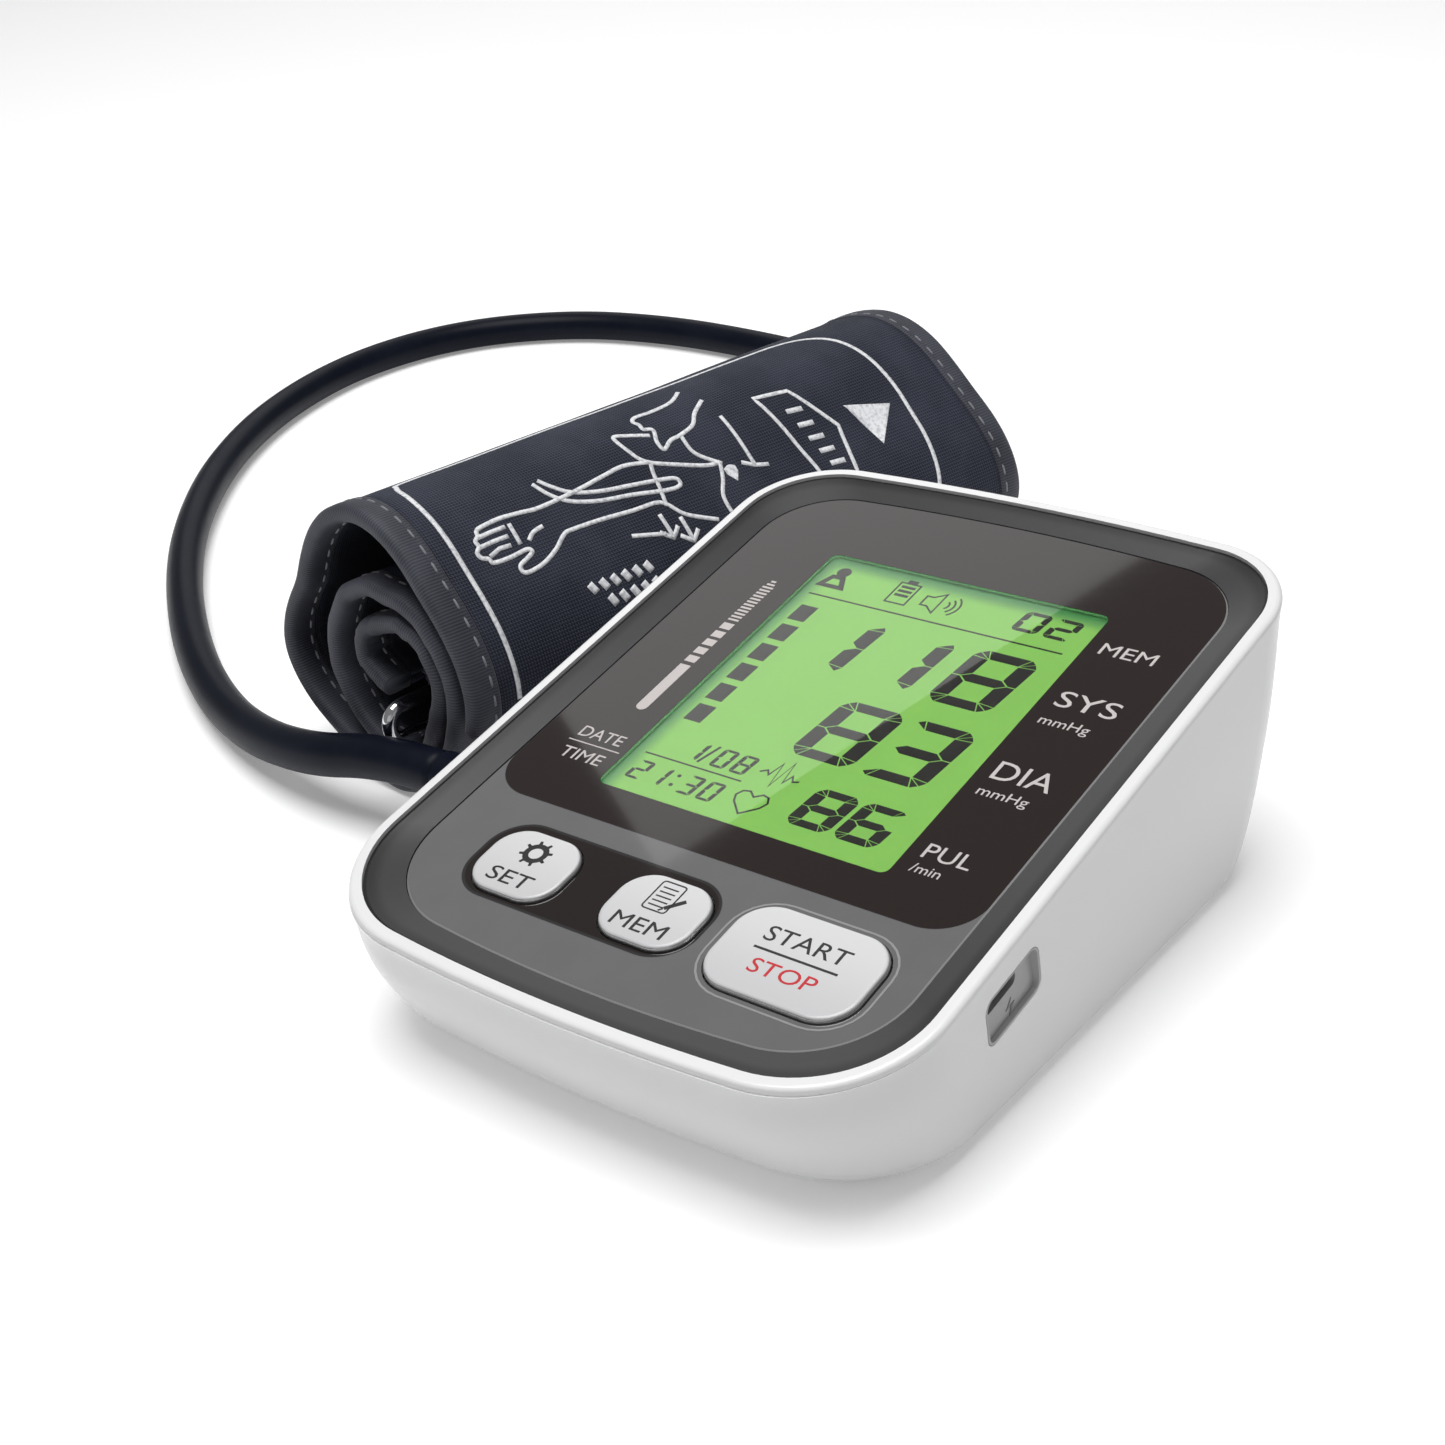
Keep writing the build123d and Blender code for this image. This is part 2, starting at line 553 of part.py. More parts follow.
def make_air_tubes():
    """The four short rubber sleeves of the air system, by node name."""
    x, y, z = MANIFOLD
    v, n = world_to_face(y, z)
    root = MANIFOLD_SIZE / 2 + 0.3
    ends = {
        "socket_tube": ((x - root, y, z), (x - 12.6, y, z)),
        "pump_tube": ((x, y + root, z), (x, 3.6, z)),
        "valve_tube": ((x, y - root, z), (x, y - 11.5, z)),
        "sensor_tube": (tuple(face_to_world(x, v, n + 3.3)), tuple(face_to_world(x, v, BOARD_UNDER - 3.4))),
    }
    return {name: pipe_between(start, end, 2.4, 1.53) for name, (start, end) in ends.items()}


def make_valve():
    """Solenoid release valve with its nozzle."""
    centre_y, centre_z = AIR_Y - 17.5, AIR_Z - 3
    body = Pos(PUMP_X, centre_y, centre_z) * Box(12, 12, 12)
    body = fillet(body.edges().filter_by(Axis.Y), 1.2)
    cap = cylinder_between((PUMP_X, centre_y - 6, centre_z), (PUMP_X, centre_y - 7.5, centre_z), 3.5)
    nozzle = pipe_between((PUMP_X, centre_y + 5.8, AIR_Z), (PUMP_X, AIR_Y - 7.2, AIR_Z), 1.5, 0.8)
    return body + cap + nozzle


def make_sensor():
    """Pressure sensor under the board, with its port."""
    v, n = world_to_face(AIR_Y, AIR_Z)
    body = Pos(MANIFOLD[0], v, BOARD_UNDER - 1.6) * Box(8, 8, 3.2)
    port = Pos(MANIFOLD[0], v) * slab(Circle(1.5) - Circle(0.8), BOARD_UNDER - 5.2, BOARD_UNDER - 3.2)
    return on_face(body + port)


def make_air_socket():
    """Air socket in the left wall: bore for the plug, flange inside, and a tail for the inner tube."""
    y, z = AIR_Y, AIR_Z
    body = cylinder_between((AIR_FACE_X, y, z), (-47.0, y, z), 5.5)
    body += cylinder_between((-48.3, y, z), (-46.9, y, z), 7.2)
    body += cylinder_between((-47.0, y, z), (-41.0, y, z), 1.5)
    body -= cylinder_between((AIR_FACE_X - 1, y, z), (-47.8, y, z), 2.6)
    body -= cylinder_between((-48.0, y, z), (-40.0, y, z), 0.8)
    return body


def make_air_plug():
    """Plug on the hose: nozzle, ribbed grip."""
    y, z = AIR_Y, AIR_Z
    plug = cylinder_between((-48.6, y, z), (-54.0, y, z), 2.54)
    plug += cylinder_between((-53.0, y, z), (-54.2, y, z), 5.3)
    plug += cylinder_between((-54.0, y, z), (-62.0, y, z), 4.9)
    for index in range(4):
        x = -55.4 - 1.7 * index
        plug += cylinder_between((x, y, z), (x - 0.8, y, z), 5.2)
    plug -= cylinder_between((-48.0, y, z), (-63.0, y, z), 1.3)
    return plug


def tapered_sleeve(start, end, r_start, r_end, bore):
    """A tapered rubber sleeve round a hose's end."""
    start, end = Vector(*start), Vector(*end)
    run = end - start
    low = Plane(origin=start, z_dir=run)
    high = Plane(origin=end, z_dir=run)
    return loft([low * Circle(r_start), high * Circle(r_end)]) - cylinder_between(tuple(start), tuple(end), bore)


def make_hose():
    """The air hose: a tube along straight runs joined by tangent arcs."""
    points = [Vector(*p) for p in HOSE_ROUTE]
    radii = []
    for before, here, after in zip(points, points[1:], points[2:]):
        turn = radians((here - before).get_angle(after - here))
        radii.append(0.45 * min((here - before).length, (after - here).length) / tan(turn / 2))
    print("hose radii", [round(r) for r in radii])
    path = FilletPolyline(*points, radius=radii)
    section = Plane(origin=points[0], z_dir=points[1] - points[0]) * (Circle(HOSE_R) - Circle(HOSE_BORE_R))
    hose = sweep(section, path=path)
    area = pi * (HOSE_R ** 2 - HOSE_BORE_R ** 2)
    print("hose length", round(path.length, 1), "volume over section x length", round(hose.volume / area / path.length, 4))
    return hose


# ---- Cuff ----
def roll_row(rows, turns):
    """A table's values at a number of turns, eased between its rows."""
    for low, high in zip(rows, rows[1:]):
        if turns <= high[0]:
            share = (turns - low[0]) / (high[0] - low[0])
            share = share * share * (3 - 2 * share)
            return [a + (b - a) * share for a, b in zip(low[1:], high[1:])]
    return rows[-1][1:]


def roll_point(turns, offset, along):
    """A point of the rolled strip: turns from its outer end, offset outwards from its midline, mm along the roll."""
    share = along / CUFF_WIDTH
    near = roll_row(ROLL_NEAR, turns)
    far = roll_row(ROLL_FAR, turns)
    a, b, centre_s, centre_z = [p + (q - p) * share for p, q in zip(near, far)]
    form_near, form_far = roll_row(ROLL_FORM, turns)
    form = form_near + (form_far - form_near) * share
    angle = radians(ROLL_START) + 2 * pi * turns
    normal = Vector(cos(angle) / a, sin(angle) / b).normalized()
    s = centre_s + form * a * cos(angle) + offset * normal.X
    z = centre_z + form * b * sin(angle) + offset * normal.Y
    return CUFF_ORIGIN + CUFF_SIDE * s + CUFF_AXIS * along + Vector(0, 0, z)


def roll_section(turns_from, turns_to, inside, outside, along):
    """Cross-section of a rolled layer at one place along the roll."""
    count = max(4, round((turns_to - turns_from) * STRIP_POINTS))
    steps = [turns_from + (turns_to - turns_from) * i / count for i in range(count + 1)]
    outer = [roll_point(t, outside, along) for t in steps]
    inner = [roll_point(t, inside, along) for t in reversed(steps)]
    even = [i / count for i in range(count + 1)]
    edges = [Edge.make_spline(outer, parameters=even), Line(outer[-1], inner[0]),
             Edge.make_spline(inner, parameters=even), Line(inner[-1], outer[0])]
    return Face(Wire(edges))


def rolled_layer(turns_from, turns_to, inside, outside, along_from, along_to):
    """A rolled layer between two places along the roll."""
    sections = [roll_section(turns_from, turns_to, inside, outside, a) for a in (along_from, along_to)]
    return loft(sections, ruled=True)


def cuff_point(s, z, along):
    """A point in the roll's own section coordinates."""
    return CUFF_ORIGIN + CUFF_SIDE * s + CUFF_AXIS * along + Vector(0, 0, z)


def make_cuff_bar():
    """Metal bar: a long closed loop of round wire that the cuff's end passes through."""
    s, z = BAR_HOLD
    lean = radians(BAR_TILT)
    drop = Vector(0, 0, -1) * cos(lean) + CUFF_SIDE * sin(lean)
    start = -BAR_OVERHANG + BAR_WIRE_R
    length = CUFF_WIDTH + 2 * BAR_OVERHANG - 2 * BAR_WIRE_R
    centre = cuff_point(s, z, start + length / 2) + drop * (BAR_REACH / 2)
    plane = Plane(origin=centre, x_dir=CUFF_AXIS, z_dir=CUFF_AXIS.cross(drop))
    path = plane * RectangleRounded(length, BAR_REACH, BAR_REACH / 2 - 0.3).wire()
    begin = path @ 0
    return sweep(Plane(origin=begin, z_dir=path % 0) * Circle(BAR_WIRE_R), path=path)


def make_bar_webbing():
    """Webbing sewn round the bar's upper side, with a short tail towards the strip's inner end."""
    s, z = BAR_HOLD
    inset = 9.0
    start = tuple(cuff_point(s, z, inset))
    end = tuple(cuff_point(s, z, CUFF_WIDTH - inset))
    tube = cylinder_between(start, end, WEBBING_R)
    strip_end = roll_point(ROLL_TURNS, 0, CUFF_WIDTH / 2) + CUFF_SIDE * 0.5
    run = cuff_point(s, z + 2.0, CUFF_WIDTH / 2) - strip_end
    tail_plane = Plane(origin=strip_end + run / 2, x_dir=CUFF_AXIS, z_dir=run)
    tail = tail_plane * Box(CUFF_WIDTH - 2 * inset, 1.4, run.length)
    return tube + tail - cylinder_between(start, end, BAR_WIRE_R + 0.25)


def make_cuff_port():
    """Air port of the bladder: a nipple in the roll's far end with a round flange."""
    inside = tuple(cuff_point(PORT_S, PORT_Z, 122))
    edge = tuple(cuff_point(PORT_S, PORT_Z, CUFF_WIDTH - 2))
    tip = tuple(cuff_point(PORT_S, PORT_Z, CUFF_WIDTH + 9))
    port = cylinder_between(inside, tip, 1.9)
    port += cylinder_between(inside, tuple(cuff_point(PORT_S, PORT_Z, 124)), 3.4)
    port += cylinder_between(edge, tuple(cuff_point(PORT_S, PORT_Z, CUFF_WIDTH)), 3.6)
    return port - cylinder_between(inside, tip, 1.1)


# ---- Build every node ----
outer_form = make_outer_form()
parts["upper_shell"] = make_upper_shell(outer_form)
parts["base_cover"] = make_base_cover()
parts["battery_door"] = make_battery_door()
parts["rubber_feet"] = Compound(children=[
    cylinder_between((x, y, 0), (x, y, BOTTOM_Z + 0.3), FOOT_R) for x, y in FOOT_PLACES])
parts["case_screws"] = Compound(children=[
    cylinder_between((x, y, BOTTOM_Z + 0.05), (x, y, BOTTOM_Z + 0.95), 2.6)
    + cylinder_between((x, y, BOTTOM_Z + 0.95), (x, y, 12.5), 1.1) for x, y in SCREW_PLACES])

parts["face_frame"] = make_face_frame()
parts["front_panel"] = make_front_panel()
parts["display_window"] = make_display_window()
for name, (u, width, height, radius) in BUTTONS.items():
    parts[name] = make_button(u, width, height, radius)
parts["rubber_keypad"] = make_keypad()
parts["lcd_glass"] = make_lcd()
parts["backlight"] = make_backlight()
parts["zebra_strip"] = make_zebra_strip()
parts["circuit_board"] = make_circuit_board()
parts["board_screws"] = make_board_screws()
parts["usb_socket"] = make_usb_socket()
parts["usb_bezel"] = make_usb_bezel(outer_form)

parts["contact_plates"], parts["contact_springs"] = make_battery_contacts()
for index in range(CELL_COUNT):
    parts[f"aa_cell_{index + 1}"] = make_cell(index)

parts["pump_motor"], parts["pump_head"] = make_pump()
parts["air_manifold"] = make_manifold()
parts.update(make_air_tubes())
parts["release_valve"] = make_valve()
parts["pressure_sensor"] = make_sensor()
parts["air_socket"] = make_air_socket()
parts["air_plug"] = make_air_plug()
parts["plug_sleeve"] = tapered_sleeve((-62, AIR_Y, AIR_Z), (-72, AIR_Y, AIR_Z), 4.8, 4.3, 2.0)

parts["air_hose"] = make_hose()
parts["cuff_outer_fabric"] = rolled_layer(0, ROLL_TURNS, FABRIC_IN, FABRIC_OUT, BINDING_WIDTH,
                                          CUFF_WIDTH - BINDING_WIDTH)
parts["cuff_bladder"] = rolled_layer(0.3, 1.5, -BLADDER_HALF, BLADDER_HALF, 12, CUFF_WIDTH - 12)
parts["cuff_inner_fabric"] = rolled_layer(0, ROLL_TURNS, -FABRIC_OUT, -FABRIC_IN, BINDING_WIDTH,
                                          CUFF_WIDTH - BINDING_WIDTH)
parts["near_edge_binding"] = rolled_layer(0, ROLL_TURNS, -BINDING_HALF, BINDING_HALF, 0, BINDING_WIDTH)
parts["far_edge_binding"] = rolled_layer(0, ROLL_TURNS, -BINDING_HALF, BINDING_HALF, CUFF_WIDTH - BINDING_WIDTH,
                                         CUFF_WIDTH)
parts["cuff_bar"] = make_cuff_bar()
parts["bar_webbing"] = make_bar_webbing()
parts["cuff_air_port"] = make_cuff_port()
parts["cuff_hose_sleeve"] = tapered_sleeve(tuple(cuff_point(PORT_S, PORT_Z, CUFF_WIDTH)),
                                           tuple(cuff_point(PORT_S, PORT_Z, CUFF_WIDTH + SLEEVE_LENGTH)),
                                           5.0, HOSE_R + 0.2, HOSE_BORE_R)

os.makedirs("parts", exist_ok=True)
for name, shape in parts.items():
    export_step(shape, f"parts/{name}.step")
print(len(parts), "nodes")
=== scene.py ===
import math

import bmesh
import bpy
from mathutils import Matrix, Vector, noise


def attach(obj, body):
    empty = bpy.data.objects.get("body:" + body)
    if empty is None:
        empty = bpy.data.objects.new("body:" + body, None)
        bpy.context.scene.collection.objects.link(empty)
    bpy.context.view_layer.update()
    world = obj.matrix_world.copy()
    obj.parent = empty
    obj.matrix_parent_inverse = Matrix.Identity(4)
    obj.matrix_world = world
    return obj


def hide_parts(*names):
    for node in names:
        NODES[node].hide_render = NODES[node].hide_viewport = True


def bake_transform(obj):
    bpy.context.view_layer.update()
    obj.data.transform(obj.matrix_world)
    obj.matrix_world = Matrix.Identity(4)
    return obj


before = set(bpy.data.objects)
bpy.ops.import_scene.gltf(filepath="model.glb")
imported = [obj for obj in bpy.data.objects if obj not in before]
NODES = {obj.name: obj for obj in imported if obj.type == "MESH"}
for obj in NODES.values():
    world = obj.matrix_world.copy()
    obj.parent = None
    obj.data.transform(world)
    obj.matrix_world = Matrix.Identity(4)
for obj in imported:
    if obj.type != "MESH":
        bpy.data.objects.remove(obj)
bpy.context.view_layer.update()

# Upper arm blood pressure monitor. Metres in Blender; the values below are millimetres in the part's frame.
MM = 0.001

# ---- The sloping face ----
SLOPE = math.radians(11.7)
FACE_Z = 37.4
PANEL_TOP = -1.8
LCD_TOP = -3.1
BUTTON_TOP = -0.9
PRINT_THICK = 0.04
# painted light: green used for the painted shade at the display's top and left edges and for the painted
# reflection of the display on its opening's wall
LCD_SHADE_AND_REFLECTION = (0.035, 0.22, 0.045)
NYLON_DARK, NYLON_LIGHT = (0.014, 0.016, 0.026), (0.074, 0.082, 0.114)
LINING_DARK, LINING_LIGHT = (0.008, 0.009, 0.013), (0.036, 0.040, 0.052)
TAPE_DARK, TAPE_LIGHT = (0.017, 0.018, 0.026), (0.072, 0.076, 0.098)
WINDOW_MIDDLE = 10.5
WINDOW_SIZE = (54.4, 68.0)

# ---- The rolled cuff, as in the part ----
CUFF_ORIGIN = Vector((-102.0, -3.0, 0.0))
CUFF_TURN = math.radians(6.0)
CUFF_AXIS = Vector((math.sin(CUFF_TURN), math.cos(CUFF_TURN), 0.0))
CUFF_SIDE = Vector((math.cos(CUFF_TURN), -math.sin(CUFF_TURN), 0.0))
CUFF_WIDTH = 141.0
ROLL_START = math.radians(-20.0)
ROLL_TURNS = 2.75
# turns from the outer end, half width, half height, centre s, centre z
ROLL_NEAR = [
    (0.00, 26.5, 26.4, 4.7, 28.1),
    (0.80, 26.5, 26.4, 4.7, 28.1),
    (1.00, 17.0, 17.0, 8.5, 24.3),
    (1.50, 17.0, 17.0, 8.5, 24.3),
    (1.80, 14.5, 16.0, 9.0, 24.2),
    (2.00, 12.2, 13.8, 9.0, 25.2),
    (2.30, 10.2, 6.8, 10.7, 28.4),
    (2.75, 10.2, 6.8, 10.7, 28.4),
]
ROLL_FAR = [
    (0.00, 33.5, 26.0, 12.2, 27.7),
    (0.80, 33.5, 26.0, 12.2, 27.7),
    (1.00, 22.0, 17.0, 15.0, 24.3),
    (1.50, 23.0, 17.0, 16.0, 24.3),
    (1.80, 19.5, 16.0, 15.0, 24.2),
    (2.00, 16.0, 13.8, 14.0, 25.2),
    (2.30, 13.0, 6.8, 12.0, 28.4),
    (2.75, 13.0, 6.8, 12.0, 28.4),
]
# turns, share of the ellipse's radius at the near end and at the far end
ROLL_FORM = [
    (0.00, 1.00, 0.98),
    (0.17, 0.87, 0.83),
    (0.31, 1.02, 1.05),
    (0.48, 0.83, 0.92),
    (0.60, 1.04, 1.03),
    (0.73, 0.92, 0.96),
    (0.82, 1.00, 1.00),
]
FABRIC_OUT = 1.4
FABRIC_IN = 0.5
BINDING_WIDTH = 6.0
CAPITAL_HEIGHT = 0.7
STITCH_LINE = 4.6
STITCH_OUT = 1.62
THREAD_RADIUS = 0.24
INK_OUT = 0.08
INK_IN = -0.05
BAR_HOLD = (10.8, 19.6)
WEBBING_MARGIN = 9.0
BLADDER_MARGIN = 12.0
CUFF_PEN = 0.85
TOOTH = ((0.06, 0.76), (0.22, 0.76), (0.30, 1.0), (0.50, 1.0), (0.58, 0.76), (0.94, 0.76))

# ---- The air hose's route, as in the part ----
HOSE_RADIUS = 4.1
HOSE_ROUTE = [
    (-72.0, -13.0, 15.0),
    (-86.0, -13.0, 15.0),
    (-108.0, -14.0, 9.5),
    (-136.0, -6.5, 4.8),
    (-165.0, 8.0, 4.1),
    (-199.0, 32.5, 4.1),
    (-230.0, 61.0, 4.1),
    (-258.0, 96.0, 4.1),
    (-277.0, 133.0, 4.1),
    (-285.0, 171.0, 4.1),
    (-277.0, 205.0, 4.1),
    (-252.5, 228.0, 4.1),
    (-221.0, 236.0, 4.1),
    (-187.0, 235.5, 4.1),
    (-153.0, 229.0, 4.8),
    (-125.0, 216.0, 9.5),
    (-106.0, 198.0, 17.0),
    (-97.72, 175.53, 23.0),
    (-100.33, 150.67, 23.0),
]


def add_object(name, data):
    """A new object in the scene."""
    made = bpy.data.objects.new(name, data)
    bpy.context.scene.collection.objects.link(made)
    return made


# ---- Camera ----
def make_camera():
    """The view from the front right, 27 degrees above the table, with a 55 mm lens."""
    camera = add_object("camera", bpy.data.cameras.new("camera"))
    right = Vector((0.7928, 0.6059, -0.0656))
    up = Vector((-0.2312, 0.3986, 0.8875))
    back = Vector((0.5639, -0.6885, 0.4561))
    turn = Matrix((right, up, back)).transposed().to_4x4()
    camera.matrix_world = Matrix.Translation(Vector((182.4, -246.3, 196.3)) * MM) @ turn
    camera.data.sensor_width = 36
    camera.data.lens = 55.1
    camera.data.clip_start = 0.01
    camera.data.clip_end = 50
    bpy.context.scene.camera = camera


# ---- Meshes ----
def mesh_of_curve(curve):
    """The mesh that a curve or a text makes."""
    holder = add_object(curve.name, curve)
    bpy.context.view_layer.update()
    mesh = bpy.data.meshes.new_from_object(holder.evaluated_get(bpy.context.evaluated_depsgraph_get()))
    bpy.data.objects.remove(holder)
    return mesh


def link_mesh(name, mesh, material, body, smooth=True):
    """Adds a mesh to the scene as a piece, attached to a body when one is given."""
    piece = add_object(name, mesh)
    mesh.materials.clear()
    mesh.materials.append(material)
    for face in mesh.polygons:
        face.use_smooth = smooth
    if body:
        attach(piece, body)
    return piece


def build_mesh(name, points, faces):
    """A mesh with outward normals, from points in millimetres."""
    mesh = bpy.data.meshes.new(name)
    mesh.from_pydata([Vector(p) * MM for p in points], [], faces)
    work = bmesh.new()
    work.from_mesh(mesh)
    bmesh.ops.recalc_face_normals(work, faces=work.faces)
    work.to_mesh(mesh)
    work.free()
    return mesh


def strip_mesh(name, points, faces, strip):
    """A mesh whose points also carry their place on the flat strip: length, width and depth."""
    mesh = build_mesh(name, points, faces)
    lengths = mesh.attributes.new("strip", "FLOAT_VECTOR", "POINT")
    for item, value in zip(lengths.data, strip):
        item.vector = value
    return mesh


def face_point(u, v, n):
    """A point of the sloping face's coordinates, in millimetres of the frame."""
    y = v * math.cos(SLOPE) - n * math.sin(SLOPE)
    z = FACE_Z + v * math.sin(SLOPE) + n * math.cos(SLOPE)
    return (u, y, z)


def socket_wall_point(across, along, level):
    """A point of the charging socket's recess floor: across the slot, up the wall, outwards."""
    return face_point(50.9 + level, -30.9 + across, -9.2 + along)


def inset(outline, margin):
    """A convex outline moved inwards by a margin."""
    area = sum(a[0] * b[1] - b[0] * a[1] for a, b in zip(outline, outline[1:] + outline[:1]))
    if area < 0:
        outline = outline[::-1]
    lines = []
    for a, b in zip(outline, outline[1:] + outline[:1]):
        length = math.hypot(b[0] - a[0], b[1] - a[1])
        dx, dy = (b[0] - a[0]) / length, (b[1] - a[1]) / length
        lines.append((a[0] - dy * margin, a[1] + dx * margin, dx, dy))
    corners = []
    for (ax, ay, adx, ady), (bx, by, bdx, bdy) in zip(lines[-1:] + lines[:-1], lines):
        cross = adx * bdy - ady * bdx
        share = ((bx - ax) * bdy - (by - ay) * bdx) / cross
        corners.append((ax + adx * share, ay + ady * share))
    return corners


def sides_of_line(line, width, closed):
    """The two edges of an even line through a path's points, mitred at its corners."""
    count = len(line)
    left, right = [], []
    for i, here in enumerate(line):
        before = line[i - 1] if closed or i else line[i]
        after = line[(i + 1) % count] if closed or i < count - 1 else line[i]
        runs = []
        for a, b in ((before, here), (here, after)):
            length = math.hypot(b[0] - a[0], b[1] - a[1])
            if length > 1e-6:
                runs.append(((b[0] - a[0]) / length, (b[1] - a[1]) / length))
        nx = -sum(r[1] for r in runs)
        ny = sum(r[0] for r in runs)
        size = math.hypot(nx, ny)
        nx, ny = nx / size, ny / size
        mitre = max(0.5, abs(nx * -runs[0][1] + ny * runs[0][0]))
        reach = width / 2 / mitre
        left.append((here[0] + nx * reach, here[1] + ny * reach))
        right.append((here[0] - nx * reach, here[1] - ny * reach))
    return left, right


class Print:
    """Flat shapes in one plane, in millimetres, that become one thin raised mesh."""

    def __init__(self):
        self.points = []
        self.faces = []

    def shape(self, outline):
        """A filled shape."""
        count, first = len(outline), len(self.points)
        self.points += [(x, y, 1) for x, y in outline] + [(x, y, 0) for x, y in outline]
        self.faces.append([first + i for i in range(count)])
        self.faces.append([first + count + i for i in reversed(range(count))])
        for i in range(count):
            j = (i + 1) % count
            self.faces.append([first + i, first + count + i, first + count + j, first + j])

    def ring(self, outer, inner):
        """A closed band between two outlines with the same number of points."""
        count, first = len(outer), len(self.points)
        self.points += [(x, y, 1) for x, y in outer] + [(x, y, 1) for x, y in inner]
        self.points += [(x, y, 0) for x, y in outer] + [(x, y, 0) for x, y in inner]
        for i in range(count):
            j = (i + 1) % count
            a, b, c, d = first + i, first + j, first + count + j, first + count + i
            low = 2 * count
            self.faces += [[a, b, c, d], [d + low, c + low, b + low, a + low],
                           [a, a + low, b + low, b], [d, c, c + low, d + low]]

    def line(self, line, width, closed=False):
        """A line of even width."""
        left, right = sides_of_line(line, width, closed)
        if closed:
            self.ring(left, right)
        else:
            self.shape(left + right[::-1])

    def word(self, text, x, y, width, cap, centred=False):
        """A word with its left end or its middle at x, and its capitals' middle at y."""
        curve = bpy.data.curves.new("word", "FONT")
        curve.body = text
        curve.extrude = 0.5
        curve.resolution_u = 4
        mesh = mesh_of_curve(curve)
        low = min(p.co.x for p in mesh.vertices)
        high = max(p.co.x for p in mesh.vertices)
        scale_x = width / (high - low)
        scale_y = cap / CAPITAL_HEIGHT
        left = x - width / 2 if centred else x
        first = len(self.points)
        for p in mesh.vertices:
            place = (left + (p.co.x - low) * scale_x, y - cap / 2 + p.co.y * scale_y, p.co.z + 0.5)
            self.points.append(place)
        self.faces += [[first + i for i in face.vertices] for face in mesh.polygons]
        bpy.data.meshes.remove(mesh)

    def make(self, name, place, level, thick, material, body="root"):
        """The piece, put in place by a function of (x, y, level)."""
        points = [place(x, y, level + thick * (h - 0.25)) for x, y, h in self.points]
        return link_mesh(name, build_mesh(name, points, self.faces), material, body, smooth=False)


def circle(x, y, radius, count=24, start=0.0, end=360.0):
    """Points of a circle, or of an arc with both of its ends."""
    full = end - start >= 360
    steps = count if full else count - 1
    angles = [math.radians(start + (end - start) * i / steps) for i in range(count)]
    return [(x + radius * math.cos(a), y + radius * math.sin(a)) for a in angles]


def rounded_rectangle(x, y, width, height, radius, steps=6):
    """Outline of a rounded rectangle centred on a point."""
    outline = []
    for corner, (sx, sy) in enumerate([(1, 1), (-1, 1), (-1, -1), (1, -1)]):
        cx, cy = x + sx * (width / 2 - radius), y + sy * (height / 2 - radius)
        outline += circle(cx, cy, radius, steps, corner * 90, corner * 90 + 90)
    return outline


